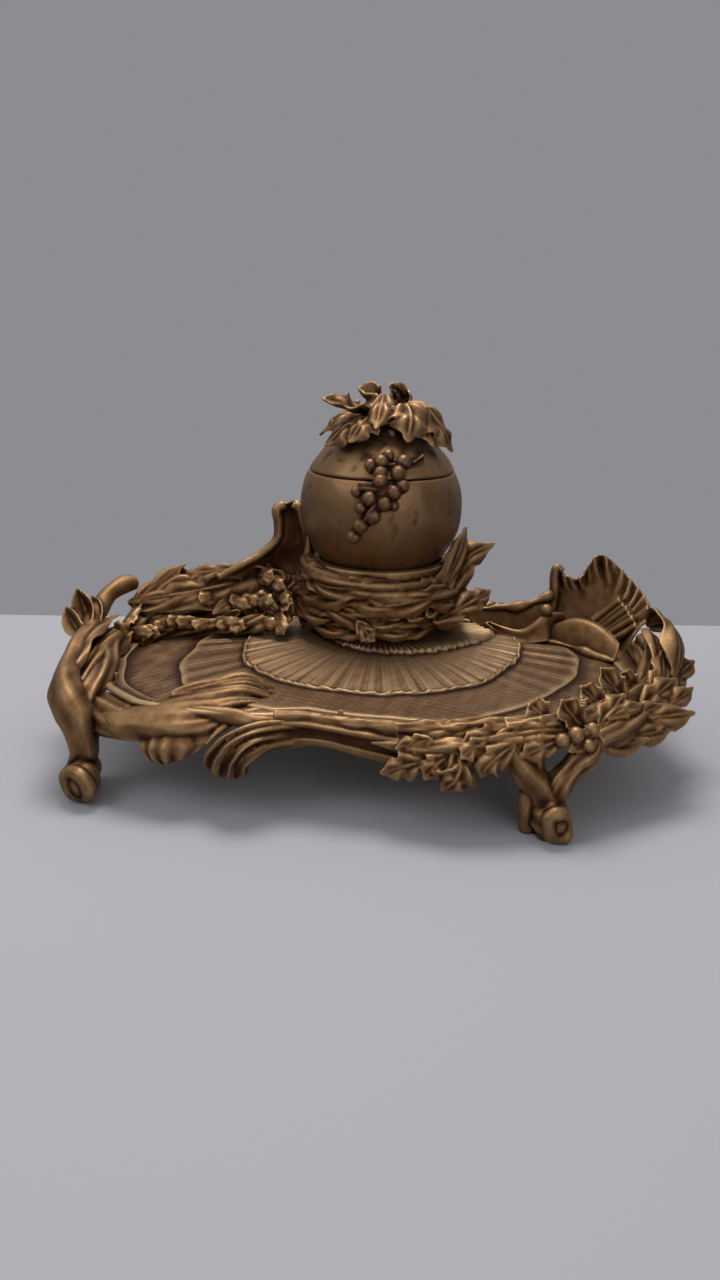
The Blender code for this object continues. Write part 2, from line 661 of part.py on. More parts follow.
def left_rear_scroll():
    rail = branch([spot(p) for p in [
        (198, 0.98, 1.08), (190, 0.97, 1.10), (183, 0.96, 1.14), (176, 0.92, 1.16), (172, 0.80, 1.20),
        (169, 0.66, 1.30), (166, 0.60, 1.36)]],
        [radius_share * RAIL_RADIUS for radius_share in (0.9, 1.0, 1.1, 1.2, 1.4, 1.6, 1.4)])
    lower = branch([spot(p) for p in [
        (193, 0.92, 1.06), (187, 0.84, 1.08), (187, 0.70, 1.12), (190, 0.55, 1.16), (194, 0.44, 1.22)]],
        [radius_share * RAIL_RADIUS for radius_share in (0.7, 0.9, 1.0, 1.2, 1.4)])
    crest = plate([[spot(p) for p in row] for row in [
        [(183.5, 1.02, 1.38), (184, 1.00, 1.33), (184.5, 0.98, 1.28)],
        [(180, 0.95, 1.56), (183, 0.93, 1.45), (185, 0.90, 1.22)],
        [(177, 0.88, 1.76), (181, 0.85, 1.60), (185.5, 0.82, 1.20)],
        [(176.5, 0.79, 1.77), (181, 0.76, 1.66), (187, 0.73, 1.36)],
        [(175.5, 0.69, 1.80), (181, 0.67, 1.66), (187, 0.64, 1.22)],
        [(174, 0.60, 1.83), (180, 0.57, 1.70), (188, 0.54, 1.34)],
        [(174, 0.50, 1.84), (179, 0.48, 1.70), (189, 0.48, 1.24)],
        [(174, 0.40, 1.72), (180, 0.40, 1.62), (190, 0.42, 1.20)]]], LEAF_THICKNESS * 1.9)
    volute = plate([[spot(p) for p in row] for row in [
        [(176, 0.72, 1.50), (171, 0.54, 1.44), (173, 0.33, 1.36)],
        [(174.5, 0.60, 1.80), (169, 0.48, 1.66), (173, 0.33, 1.66)],
        [(173.5, 0.50, 2.00), (168, 0.43, 1.94), (173, 0.335, 1.96)],
        [(172.5, 0.465, 2.20), (168, 0.415, 2.18), (173, 0.345, 2.20)],
        [(173, 0.455, 2.44), (170, 0.41, 2.46), (174, 0.36, 2.44)],
        [(175, 0.44, 2.60), (173, 0.41, 2.62), (175, 0.375, 2.60)]]], SCROLL_THICKNESS)
    roll = branch([spot(p) for p in [
        (177, 0.66, 1.66), (175.5, 0.54, 1.90), (174.5, 0.475, 2.12), (174, 0.46, 2.36), (175.5, 0.45, 2.56)]],
        [radius_share * RAIL_RADIUS for radius_share in (0.6, 0.55, 0.5, 0.45, 0.5)], sides=5)
    ridge = branch([spot(p) for p in [
        (178, 0.345, 1.46), (177, 0.335, 1.84), (176, 0.34, 2.14), (176, 0.355, 2.40), (176, 0.37, 2.52)]],
        [radius_share * RAIL_RADIUS for radius_share in (0.7, 0.6, 0.5, 0.4, 0.3)], sides=5)
    sprays = leaves([
        ([(180, 0.78, 1.66), (184, 0.80, 1.44), (189, 0.82, 1.16)], 1.1, 262, 62, -0.4, 2),
        ([(180, 0.62, 1.66), (186, 0.61, 1.50), (192, 0.60, 1.14)], 1.1, 262, 62, -0.4, 2),
        ([(182, 0.46, 1.66), (190, 0.44, 1.50), (198, 0.44, 1.14)], 1.25, 262, 65, -0.4, 2),
        ([(186, 0.36, 1.62), (195, 0.35, 1.42), (204, 0.42, 1.10)], 1.0, 255, 60, -0.4, 2),
    ])
    return fixed("left_rear_scroll", [rail, lower, crest, volute, roll, ridge] + sprays, (158, 196),
                 SCREW_PLACES["left_rear_scroll"], [pot_cutter(), nest_cutter()])


def front_left_cartouche():
    wing = plate([[spot(p) for p in row] for row in [
        [(225, 1.06, 1.02), (225.5, 1.08, 0.97), (226, 1.09, 0.86), (226, 1.08, 0.76)],
        [(229.5, 0.95, 1.16), (229.5, 1.01, 1.16), (230, 1.05, 0.94), (230, 1.05, 0.72)],
        [(233, 0.86, 1.17), (232.5, 0.96, 1.20), (233, 1.04, 0.94), (233.5, 1.03, 0.58)],
        [(237, 0.79, 1.17), (236, 0.92, 1.20), (235.5, 1.03, 0.94), (236, 1.02, 0.50)],
        [(242, 0.76, 1.15), (240, 0.88, 1.18), (238.5, 1.02, 0.95), (238.5, 1.02, 0.66)],
        [(247, 0.77, 1.12), (243, 0.88, 1.14), (241, 1.00, 0.96), (240.5, 1.01, 0.72)]]], LEAF_THICKNESS * 1.5)
    strands = []
    for places in (
            [(250.5, 0.80, 1.14), (246, 0.87, 1.18), (242, 0.95, 1.08), (240.3, 1.02, 0.76), (240.5, 1.03, 0.46),
             (242.5, 1.01, 0.34), (244.8, 1.0, 0.42)],
            [(250.5, 0.87, 1.13), (246.5, 0.93, 1.14), (244, 1.0, 0.96), (242.8, 1.04, 0.66), (243.5, 1.04, 0.44),
             (245.5, 1.02, 0.40), (246.8, 1.01, 0.50)],
            [(251, 0.94, 1.10), (248.3, 0.99, 1.06), (246.2, 1.03, 0.86), (245.8, 1.04, 0.62), (247, 1.03, 0.50),
             (249, 1.02, 0.56), (250.5, 1.01, 0.64)]):
        strands.append(branch([spot(p) for p in places],
                              [share * SCROLL_WIDTH for share in (0.16, 0.24, 0.26, 0.26, 0.25, 0.22, 0.2)],
                              sides=5))
    web = plate([[spot(p) for p in row] for row in [
        [(247, 0.84, 1.12), (251, 0.94, 1.06)], [(243.5, 0.95, 1.05), (248, 1.02, 0.98)],
        [(241.8, 1.02, 0.76), (246.5, 1.03, 0.80)], [(241.8, 1.02, 0.48), (247.5, 1.02, 0.58)]]], SCROLL_THICKNESS)
    sprays = leaves([
        ([(232, 0.92, 1.16), (238, 0.80, 1.22), (246, 0.74, 1.13)], 0.9, 250, 35, -0.3, 1),
        ([(233, 1.02, 0.90), (234.5, 1.04, 0.68), (235, 1.02, 0.44)], 1.1, 252, 75, -0.4, 2),
    ])
    return fixed("front_left_cartouche", [wing, web] + sprays + strands, (228, 250),
                 SCREW_PLACES["front_left_cartouche"])


def moulding(lower, upper, thickness, azimuth):
    """Run of moulding between a lower and an upper line, its section read from a table."""
    out = heading(azimuth, 90)
    rings = []
    for foot, head in zip(curve_through(lower, 1), curve_through(upper, 1)):
        rings.append([foot.lerp(head, rise) + out * (thickness * depth) for rise, depth in MOULDING_SHARES])
    return loft(rings)


def front_moulding():
    low = [(249, 0.975, 0.50), (252.5, 0.98, 0.60), (256, 0.975, 0.68), (260, 0.965, 0.70), (264, 0.97, 0.69),
           (268, 0.985, 0.64), (272.5, 1.0, 0.58)]
    high = [(249, 1.03, 0.94), (252.5, 1.04, 0.99), (256, 1.04, 1.0), (260, 1.035, 1.0), (264, 1.035, 0.98),
            (268, 1.045, 0.95), (272.5, 1.06, 0.91)]
    body = moulding([spot(p) for p in low], [spot(p) for p in high], MOULDING_THICKNESS, 262)
    inner = branch([spot((a, 0.985, 1.04)) for a, _, _ in high], [RAIL_RADIUS, RAIL_RADIUS], 1)
    return fixed("front_moulding", [body, inner], (250, 271.5), SCREW_PLACES["front_moulding"])


def front_leaf_spray():
    rail = branch([spot(p) for p in [(270, 1.045, 0.82), (277, 1.05, 0.84), (284, 1.04, 0.90), (292, 1.02, 0.95)]],
                  [radius_share * BRANCH_RADIUS for radius_share in (0.7, 0.75, 0.7, 0.65)])
    inner = branch([spot(p) for p in [(270, 0.985, 1.02), (277, 0.985, 1.02), (284, 0.98, 1.03), (292, 0.98, 1.04)]],
                   [RAIL_RADIUS, RAIL_RADIUS])
    sprays = leaves([
        ([(279, 1.07, 0.82), (275, 1.085, 0.70), (272, 1.075, 0.62)], 1.0, 268, 70, -0.3, 2),
        ([(283, 1.08, 0.80), (280.5, 1.10, 0.62), (279, 1.085, 0.42)], 1.15, 275, 75, -0.4, 2),
        ([(281, 1.07, 0.88), (278, 1.10, 0.78), (276, 1.10, 0.66)], 0.9, 270, 60, -0.3, 2),
        ([(289, 1.07, 0.92), (286, 1.095, 0.80), (283.5, 1.085, 0.64)], 1.1, 278, 65, -0.3, 2),
        ([(291, 1.01, 1.04), (286, 1.03, 1.06), (281, 1.05, 1.0)], 0.9, 285, 35, -0.3, 1),
        ([(285, 1.02, 1.02), (279, 1.03, 1.02), (274, 1.04, 0.97)], 0.75, 275, 35, -0.3, 1),
    ])
    return fixed("front_leaf_spray", [rail, inner] + sprays, (271.5, 291), SCREW_PLACES["front_leaf_spray"])


def right_front_leg():
    stem = branch([spot(p) for p in [
        (296, 1.08, -0.05), (296, 1.085, 0.14), (296, 1.08, 0.32), (295.7, 1.06, 0.48), (293.5, 1.045, 0.66),
        (291, 1.03, 0.88), (289.5, 1.00, 1.04)]],
        [radius_share * BRANCH_RADIUS for radius_share in (1.0, 1.35, 1.30, 0.85, 0.72, 0.75, 0.6)], 1,
        BRANCH_SIDES + 2)
    fork = branch([spot(p) for p in [(296, 1.06, 0.44), (298, 1.06, 0.62), (301, 1.055, 0.78), (304, 1.04, 0.92),
                                     (306, 1.01, 1.02)]],
                  [radius_share * BRANCH_RADIUS for radius_share in (0.8, 0.7, 0.7, 0.7, 0.7)])
    stub = branch([spot(p) for p in [(293.5, 1.03, 0.10), (293.8, 1.035, 0.26), (294.5, 1.045, 0.44)]],
                  [radius_share * BRANCH_RADIUS for radius_share in (0.5, 0.62, 0.6)])
    rail = branch([spot(p) for p in [(290, 0.99, 1.03), (297, 0.99, 1.05), (306, 0.99, 1.04)]],
                  [RAIL_RADIUS, RAIL_RADIUS])
    sprays = leaves([
        ([(297, 1.02, 1.04), (293.5, 1.03, 1.10), (289.5, 1.03, 1.04)], 1.0, 285, 45, -0.3, 2),
        ([(298, 0.99, 1.06), (296, 0.955, 1.22), (294, 0.93, 1.26)], 0.9, 300, 35, 0.3, 2),
        ([(301, 1.03, 1.02), (299.5, 1.01, 1.20), (299, 0.99, 1.36)], 0.95, 280, 60, 0.3, 2),
        ([(304, 1.03, 0.98), (301, 1.06, 1.04), (297, 1.07, 0.98)], 0.9, 290, 50, -0.3, 2),
    ])
    return fixed("right_front_leg", [stem, fork, stub, rail] + sprays, (291, 304.5),
                 SCREW_PLACES["right_front_leg"], [table_cutter()])


def right_leaf_branch():
    stem = branch([spot(p) for p in [
        (303, 1.05, 0.88), (308, 1.06, 0.92), (314, 1.06, 0.97), (320, 1.05, 1.03), (328, 1.04, 1.10),
        (337, 1.02, 1.16), (346, 1.0, 1.2)]],
        [radius_share * BRANCH_RADIUS for radius_share in (0.75, 0.75, 0.7, 0.75, 0.8, 0.75, 0.7)])
    rail = branch([spot(p) for p in [(303, 0.985, 1.03), (314, 0.985, 1.04), (325, 0.98, 1.06), (335, 0.98, 1.06),
                                     (346, 0.98, 1.08)]], [RAIL_RADIUS, RAIL_RADIUS])
    sprays = leaves([
        ([(313, 1.07, 0.98), (318, 1.12, 1.00), (322, 1.165, 0.97)], 0.95, 300, 45, -0.2, 2),
        ([(308, 1.06, 0.92), (313, 1.11, 0.90), (317.5, 1.14, 0.90)], 0.8, 300, 50, -0.2, 1),
        ([(309, 0.99, 1.08), (308.5, 0.955, 1.20), (308, 0.92, 1.30)], 0.85, 290, 55, 0.3, 1),
        ([(314, 1.0, 1.10), (313.5, 0.96, 1.28), (313, 0.92, 1.46)], 1.0, 290, 60, 0.3, 2),
        ([(308, 1.0, 1.02), (306.5, 0.97, 1.10), (305.5, 0.94, 1.08)], 0.8, 290, 35, 0.3, 1),
        ([(329, 1.06, 1.12), (333, 1.09, 1.16), (335, 1.12, 1.18)], 0.75, 320, 50, -0.2, 1),
        ([(312, 1.01, 1.10), (322, 0.975, 1.18), (334, 0.935, 1.22), (344, 0.97, 1.30)], 0.75, 320, 25, -0.5, 1),
        ([(343, 1.01, 1.40), (338, 1.04, 1.62), (331, 1.06, 1.50), (326, 1.05, 1.14)], 1.35, 330, 55, -0.6, 2),
        ([(321, 1.02, 1.06), (326, 1.03, 1.26), (333, 1.02, 1.38)], 1.05, 310, 50, -0.3, 1),
        ([(315, 1.04, 1.04), (320, 1.06, 1.16), (325, 1.07, 1.22)], 0.95, 305, 50, -0.3, 1),
        ([(305, 1.03, 1.0), (309, 1.02, 1.14), (313, 1.01, 1.22)], 0.85, 295, 45, -0.3, 1),
    ])
    return fixed("right_leaf_branch", [stem, rail] + sprays, (304.5, 345), SCREW_PLACES["right_leaf_branch"])


def rear_right_crest():
    shell = plate([[spot(p) for p in row] for row in [
        [(14, 0.78, 1.05), (14, 0.78, 1.20), (14, 0.80, 1.34)],
        [(9, 0.82, 1.06), (10, 0.85, 1.42), (9, 0.86, 1.82)],
        [(6, 0.90, 1.06), (9, 0.95, 1.38), (8.5, 0.94, 1.72)],
        [(3, 0.96, 1.06), (8, 1.04, 1.44), (7.5, 1.03, 1.70)],
        [(359, 0.98, 1.06), (4.5, 1.06, 1.54), (6, 1.10, 2.0)],
        [(354, 0.98, 1.06), (358, 1.05, 1.38), (1, 1.10, 1.80)],
        [(349, 0.98, 1.06), (352, 1.04, 1.26), (355, 1.08, 1.52)],
        [(344, 0.98, 1.06), (346, 1.02, 1.18), (347, 1.06, 1.34)]]], CREST_THICKNESS)
    ribs = [branch([spot(p) for p in row], [RAIL_RADIUS * 0.5, RAIL_RADIUS * 0.4], sides=5) for row in (
        [(353, 0.91, 1.10), (357.5, 0.97, 1.34), (3, 1.04, 1.66)],
        [(350, 0.93, 1.10), (354, 0.99, 1.29), (359, 1.06, 1.54)],
        [(347, 0.95, 1.10), (350.5, 1.0, 1.24), (354, 1.06, 1.42)])]
    horn = branch([spot(p) for p in [(12, 0.80, 1.16), (8.5, 0.845, 1.50), (8, 0.86, 1.76), (7, 0.885, 1.88),
                                     (6, 0.91, 1.84)]],
                  [share * RAIL_RADIUS for share in (0.7, 0.6, 0.55, 0.5, 0.4)], sides=5)
    lip = plate([[spot(p) for p in row] for row in [
        [(12, 0.47, 1.40), (6, 0.44, 1.22), (0, 0.43, 1.08)],
        [(9, 0.56, 1.38), (2, 0.53, 1.16), (353, 0.49, 1.05)],
        [(7, 0.66, 1.34), (0, 0.65, 1.14), (350, 0.60, 1.04)],
        [(6, 0.74, 1.34), (1, 0.73, 1.16), (353, 0.69, 1.06)],
        [(7, 0.80, 1.42), (3, 0.80, 1.24), (358, 0.77, 1.08)],
        [(9, 0.84, 1.56), (7, 0.85, 1.32), (3, 0.83, 1.10)]]], CREST_THICKNESS)
    lobe = plate([[spot(p) for p in row] for row in [
        [(1, 0.74, 1.16), (358, 0.73, 1.15), (355, 0.71, 1.10)],
        [(0, 0.84, 1.24), (356, 0.80, 1.22), (352, 0.76, 1.09)],
        [(357, 0.91, 1.20), (352, 0.87, 1.20), (348, 0.83, 1.08)],
        [(352, 0.97, 1.14), (347, 0.93, 1.15), (344, 0.90, 1.08)]]], CREST_THICKNESS)
    return fixed("rear_right_crest", [shell, lip, lobe, horn] + ribs, (345, 375),
                 SCREW_PLACES["rear_right_crest"], [pot_cutter(), nest_cutter()])


def rear_rim_moulding():
    line = [(16, 0.96, 1.14), (25, 0.99, 1.14), (40, 1.02, 1.12), (60, 1.02, 1.12), (90, 1.02, 1.12),
            (120, 1.02, 1.12), (140, 1.01, 1.12), (150, 0.99, 1.14), (157, 0.97, 1.16)]
    rope = branch([spot(p) for p in line], [RAIL_RADIUS, RAIL_RADIUS], knots=0.12)
    return fixed("rear_rim_moulding", [rope], (15, 158), SCREW_PLACES["rear_rim_moulding"])


def nest_seat():
    return TRAY_HEIGHT + HUB_RISE + SEAT_GAP


def nest_spot(place):
    """Point for (angle, share of the nest's radius, share of the nest's height)."""
    angle, reach, rise = place
    turn = math.radians(angle)
    return Vector((POT_X + math.cos(turn) * reach * NEST_RADIUS, POT_Y + math.sin(turn) * reach * NEST_RADIUS,
                   rise * NEST_TOP))


def nest_cup():
    """Turned cup that carries the leaf bands and takes the ball of the pot in its mouth."""
    foot = nest_seat() - OVERRUN
    inner = SOCLE_RADIUS + SEAT_GAP * 2
    profile = [(inner, foot), (inner + NEST_FLOOR, foot), (NEST_RADIUS, NEST_TOP * 0.78), (NEST_RADIUS, NEST_TOP),
               (NEST_RADIUS - NEST_WALL, NEST_TOP), (NEST_RADIUS - NEST_WALL * 1.3, NEST_TOP * 0.78),
               (inner, nest_seat() + NEST_WALL)]
    return turned(profile, ROUND_FACETS // 4 * 3, Vector((POT_X, POT_Y, 0)))


def nest_bands():
    """Leaf bands wound slantwise round the cup, so that they cross like a plait."""
    lines = []
    for reach, lift, phase, slant in NEST_WINDINGS:
        line = []
        for step in range(NEST_STEPS):
            turn = math.tau * step / NEST_STEPS
            swell = NEST_RADIUS * (reach + 0.05 * math.sin(turn * 2 + phase))
            rise = NEST_TOP * (lift + slant * math.sin(turn + phase))
            line.append(Vector((POT_X + math.cos(turn) * swell, POT_Y + math.sin(turn) * swell, rise)))
        lines.append(line)
    return lines


def ring_branch(line, radius, sides, knots):
    """Round stem closed on itself."""
    points = line + line[:1]
    smooth = curve_through(points, 2)[:-1]
    ahead = smooth[1:] + smooth[:1]
    rings = []
    for i, (point, after) in enumerate(zip(smooth, ahead)):
        way = (after - smooth[i - 1]).normalized()
        side = way.cross(Vector((0, 0, 1))).normalized()
        other = way.cross(side)
        swell = radius * (1 + knots * (-1) ** i)
        rings.append([point + (side * math.cos(a) + other * math.sin(a)) * swell
                      for a in (math.tau * k / sides for k in range(sides))])
    return loft(rings, closed_line=True)


def nest_cutter():
    """Envelope of the nest, clear of it, for the castings that reach it."""
    outer = NEST_RADIUS * 1.17 + BAND_RADIUS * 1.1 + SEAT_GAP
    top = NEST_TOP + BAND_RADIUS * 1.5
    return turned([(0, 0), (outer, 0), (outer, top), (0, top)], ROUND_FACETS, Vector((POT_X, POT_Y, 0)))


def leaf_nest():
    rings = [ring_branch(line, BAND_RADIUS, 5, 0.1) for line in nest_bands()]
    sprays = [leaf([nest_spot(place) for place in places], share * LEAF_WIDTH, heading(azimuth, lean), lobes, cup)
              for places, share, azimuth, lean, cup, lobes in NEST_LEAF_SHARES]
    nest = cast("leaf_nest", [nest_cup()] + rings + sprays, [pot_cutter(), nest_floor_cutter()])
    return bronze(nest)


def nest_floor_cutter():
    """Everything below the hub's top, wide enough for the whole nest."""
    top = nest_seat()
    wide = SIDE_REACH
    return turned([(0, 0), (wide, 0), (wide, top), (0, top)], SMALL_FACETS, Vector((POT_X, POT_Y, 0)))


def arc_points(radius, start, end, steps):
    """Section points of a ball about the pot's centre, from one elevation in degrees to another."""
    points = []
    for i in range(steps + 1):
        lift = math.radians(start + (end - start) * i / steps)
        points.append((radius * math.cos(lift), POT_CENTRE_HEIGHT + radius * math.sin(lift)))
    return points


def seam_height():
    return POT_CENTRE_HEIGHT + SEAM_RISE


def pot_body():
    """Turned pot: socle on the tray, ball with a wall, and the ledge on which the liner hangs."""
    seam = seam_height() - SEAM_GAP / 2
    rise = seam - POT_CENTRE_HEIGHT
    inner = POT_RADIUS - POT_WALL
    ledge_top = seam - LEDGE_DROP
    ledge_under = ledge_top - LEDGE_THICKNESS
    opening = LINER_RADIUS + LINER_FIT
    well = LINER_FLANGE_RADIUS + LINER_FIT
    seat = TRAY_HEIGHT + HUB_RISE + SEAT_GAP
    top_angle = math.degrees(math.asin(rise / POT_RADIUS))
    foot_angle = -math.degrees(math.acos((SOCLE_NECK + POT_WALL) / POT_RADIUS))
    inner_foot = -math.degrees(math.acos(SOCLE_NECK * 0.6 / inner))
    under_angle = math.degrees(math.asin((ledge_under - POT_CENTRE_HEIGHT) / inner))
    neck_height = POT_CENTRE_HEIGHT + POT_RADIUS * math.sin(math.radians(foot_angle)) - POT_WALL
    profile = [(0, seat), (SOCLE_RADIUS, seat), (SOCLE_RADIUS, seat + SOCLE_FLANGE), (SOCLE_NECK, seat + SOCLE_FLANGE * 2),
               (SOCLE_NECK, neck_height)]
    profile += arc_points(POT_RADIUS, foot_angle, top_angle, BALL_STEPS)
    profile += [(well, seam), (well, ledge_top), (opening, ledge_top), (opening, ledge_under)]
    profile += arc_points(inner, under_angle, inner_foot, BALL_STEPS // 2)
    profile += [(0, POT_CENTRE_HEIGHT + inner * math.sin(math.radians(inner_foot)))]
    pot = placed(turned(profile, ROUND_FACETS, Vector((POT_X, POT_Y, 0))), "pot_body")
    low = Vector((POT_X, POT_Y, 0))
    bore = rod(low, low + Vector((0, 0, seat + STUD_GRIP + SEAT_GAP)), STUD_RADIUS + SEAT_GAP, SMALL_FACETS)
    carved(pot, placed(bore, "pot_stud_bore"), "DIFFERENCE")
    return dark_bronze(largest_body(pot))


def glass_liner():
    """Removable ink cup with a flange that hangs on the pot's ledge."""
    under = seam_height() - SEAM_GAP / 2 - LEDGE_DROP + SEAT_GAP
    top = under + LINER_FLANGE
    inside = LINER_RADIUS - LINER_WALL
    floor = top - LINER_DEPTH
    curve = LINER_WALL * 2
    profile = [(0, floor), (LINER_RADIUS - curve, floor), (LINER_RADIUS, floor + curve), (LINER_RADIUS, under),
               (LINER_FLANGE_RADIUS, under), (LINER_FLANGE_RADIUS, top), (inside, top),
               (inside, floor + curve + LINER_WALL / 2), (inside - curve, floor + LINER_WALL), (0, floor + LINER_WALL)]
    liner = placed(turned(profile, ROUND_FACETS, Vector((0, 0, 0))), "glass_liner")
    liner.location = (POT_X, POT_Y, 0)
    return finished(liner, (0.86, 0.90, 0.90), 0.08, 0.0)


def hinge_axis():
    """Point on the hinge's axis: behind the pot, in the plane of the seam, clear of the ball."""
    clear = POT_RADIUS + BARREL_RADIUS + SEAT_GAP * 2
    back = math.sqrt(clear * clear - SEAM_RISE * SEAM_RISE)
    return Vector((POT_X, POT_Y + back, seam_height()))


def lid_shell():
    seam = seam_height() + SEAM_GAP / 2
    rise = seam - POT_CENTRE_HEIGHT
    inner = POT_RADIUS - LID_WALL
    low_angle = math.degrees(math.asin(rise / POT_RADIUS))
    low_inner = math.degrees(math.asin(rise / inner))
    profile = arc_points(POT_RADIUS, low_angle, 90, DOME_STEPS) + arc_points(inner, 90, low_inner, DOME_STEPS - 1)
    profile[DOME_STEPS] = (0, profile[DOME_STEPS][1])
    profile[DOME_STEPS + 1] = (0, profile[DOME_STEPS + 1][1])
    dome = turned_shell(profile, DOME_STEPS, Vector((POT_X, POT_Y, 0)))
    lid = placed(dome, "lid_shell")
    foot = Vector((POT_X, POT_Y, POT_CENTRE_HEIGHT))
    top = foot + Vector((0, 0, POT_RADIUS + OVERRUN))
    carved(lid, placed(rod(foot, top, FINIAL_STUD_RADIUS + BORE_FIT, SMALL_FACETS), "lid_bore"), "DIFFERENCE")
    return dark_bronze(largest_body(lid))


def turned_shell(profile, top_index, centre):
    """Dome of revolution whose section meets the axis outside and inside, open underneath."""
    mesh = bmesh.new()
    verts = [mesh.verts.new((radius, 0, height)) for radius, height in profile]
    pairs = [pair for i, pair in enumerate(zip(verts, verts[1:])) if i != top_index]
    edges = [mesh.edges.new(pair) for pair in pairs]
    edges.append(mesh.edges.new((verts[-1], verts[0])))
    bmesh.ops.spin(mesh, geom=verts + edges, axis=(0, 0, 1), cent=(0, 0, 0), angle=math.tau,
                   steps=ROUND_FACETS, use_merge=True)
    bmesh.ops.remove_doubles(mesh, verts=mesh.verts, dist=MERGE)
    bmesh.ops.translate(mesh, verts=mesh.verts, vec=centre)
    bmesh.ops.recalc_face_normals(mesh, faces=mesh.faces)
    return mesh


def vine_leaf_finial():
    boss_low = ball(0, 90, POT_RADIUS + SEAT_GAP)
    knob = rod(boss_low - Vector((0, 0, OVERRUN)), boss_low + Vector((0, 0, VINE_LEAF_THICKNESS * 2.4)),
               FINIAL_BOSS_RADIUS, SMALL_FACETS)
    stud = rod(boss_low - Vector((0, 0, FINIAL_STUD_LENGTH)), boss_low + Vector((0, 0, VINE_LEAF_THICKNESS)),
               FINIAL_STUD_RADIUS, SMALL_FACETS)
    rows = [
        ([(250, 86, 1.14), (215, 66, 1.30), (200, 54, 1.44)], 1.1, 200, 20, 0.35, 2),
        ([(240, 84, 1.16), (222, 58, 1.20), (214, 36, 1.13)], 1.3, 215, 45, -0.4, 1),
        ([(250, 82, 1.16), (240, 60, 1.22), (236, 40, 1.14)], 1.15, 240, 45, -0.4, 1),
        ([(270, 80, 1.16), (262, 66, 1.24), (262, 50, 1.16)], 0.75, 262, 45, -0.4, 1),
        ([(180, 84, 1.16), (150, 78, 1.32), (140, 74, 1.42)], 0.9, 200, 30, 0.5, 1),
        ([(20, 84, 1.16), (40, 72, 1.30), (30, 64, 1.40)], 1.3, 300, 55, 0.3, 2),
        ([(330, 84, 1.16), (300, 66, 1.26), (288, 44, 1.16)], 1.5, 290, 45, -0.5, 2),
        ([(350, 82, 1.16), (345, 58, 1.28), (340, 34, 1.14)], 1.35, 340, 50, -0.5, 2),
        ([(90, 84, 1.16), (92, 60, 1.24), (95, 40, 1.14)], 1.2, 90, 45, -0.4, 1),
    ]
    blades = [leaf([ball(az, el, reach_share * POT_RADIUS) for az, el, reach_share in places],
                   width_share * VINE_LEAF_WIDTH, heading(azimuth, lean), lobes, cup, VINE_LEAF_THICKNESS)
              for places, width_share, azimuth, lean, cup, lobes in rows]
    return bronze(cast("vine_leaf_finial", [knob, stud] + blades, [finial_seat_cutter()]))


def finial_seat_cutter():
    """Dome a seat gap larger than the lid, bored so that the finial's stud is left."""
    radius = POT_RADIUS + SEAT_GAP
    bore = FINIAL_STUD_RADIUS + SEAT_GAP * 0.5
    top_angle = math.degrees(math.acos(bore / radius))
    outer = arc_points(radius, 0, top_angle, 10)
    low = POT_CENTRE_HEIGHT
    profile = [(bore, low)] + outer
    return turned(profile, ROUND_FACETS, Vector((POT_X, POT_Y, 0)))


def hexagon_nut(name, low, radius, height, bore):
    """Six-sided nut with a round bore."""
    nut = placed(rod(low, low + Vector((0, 0, height)), radius, 6), name)
    tool = rod(low - Vector((0, 0, OVERRUN)), low + Vector((0, 0, height + OVERRUN)), bore, SMALL_FACETS)
    carved(nut, placed(tool, f"{name}_bore"), "DIFFERENCE")
    return brass(largest_body(nut))


def finial_nut():
    inner = POT_RADIUS - LID_WALL
    flat = math.sqrt(inner * inner - FINIAL_NUT_RADIUS * FINIAL_NUT_RADIUS)
    low = Vector((POT_X, POT_Y, POT_CENTRE_HEIGHT + flat - SEAT_GAP - FINIAL_NUT_HEIGHT))
    return hexagon_nut("finial_nut", low, FINIAL_NUT_RADIUS, FINIAL_NUT_HEIGHT, FINIAL_STUD_RADIUS + SEAT_GAP)


def grapes(rows):
    """Berries on the ball: (azimuth, elevation, size share)."""
    berries = []
    for azimuth, elevation, size_share in rows:
        berry = bmesh.new()
        bmesh.ops.create_icosphere(berry, subdivisions=1, radius=GRAPE_RADIUS * size_share)
        bmesh.ops.translate(berry, verts=berry.verts, vec=ball(azimuth, elevation, POT_RADIUS + GRAPE_RISE))
        berries.append(berry)
    return berries


def grape_bed(rows):
    """Leafy ground that ties the berries together, along the ball."""
    return branch([ball(azimuth, elevation, POT_RADIUS + GRAPE_RISE) for azimuth, elevation in rows],
                  [GRAPE_BED * 2.2, GRAPE_BED * 2.2], 1, 5)


def seam_cutter(upper):
    """Half space above or below the seam, for the grapes on the other side."""
    edge = seam_height() + (SEAM_GAP / 2 if upper else -SEAM_GAP / 2)
    far = edge - POT_RADIUS if upper else edge + POT_RADIUS
    low, high = min(edge, far), max(edge, far)
    wide = POT_RADIUS * 2
    return turned([(0, low), (wide, low), (wide, high), (0, high)], SMALL_FACETS, Vector((POT_X, POT_Y, 0)))


def ball_cutter():
    radius = POT_RADIUS + SEAT_GAP
    profile = arc_points(radius, -90, 90, 16)
    profile[0] = (0, profile[0][1])
    profile[-1] = (0, profile[-1][1])
    return turned(profile, ROUND_FACETS, Vector((POT_X, POT_Y, 0)))


def grape_cluster_pot():
    rows = [(281, 24, 1.0), (269, 23, 1.15), (277, 17, 0.95), (261, 15, 1.05), (270, 10, 1.05), (257, 7, 0.95),
            (264, 2, 1.0), (256, -3, 1.05), (251, -11, 1.0), (288, 20, 0.8)]
    bed = [grape_bed([(286, 23), (276, 20), (266, 18), (252, 20)]), grape_bed([(276, 20), (266, 8), (256, -4), (251, -11)])]
    cluster = cast("grape_cluster_pot", bed + grapes(rows), [ball_cutter(), seam_cutter(False)])
    return dark_bronze(cluster)


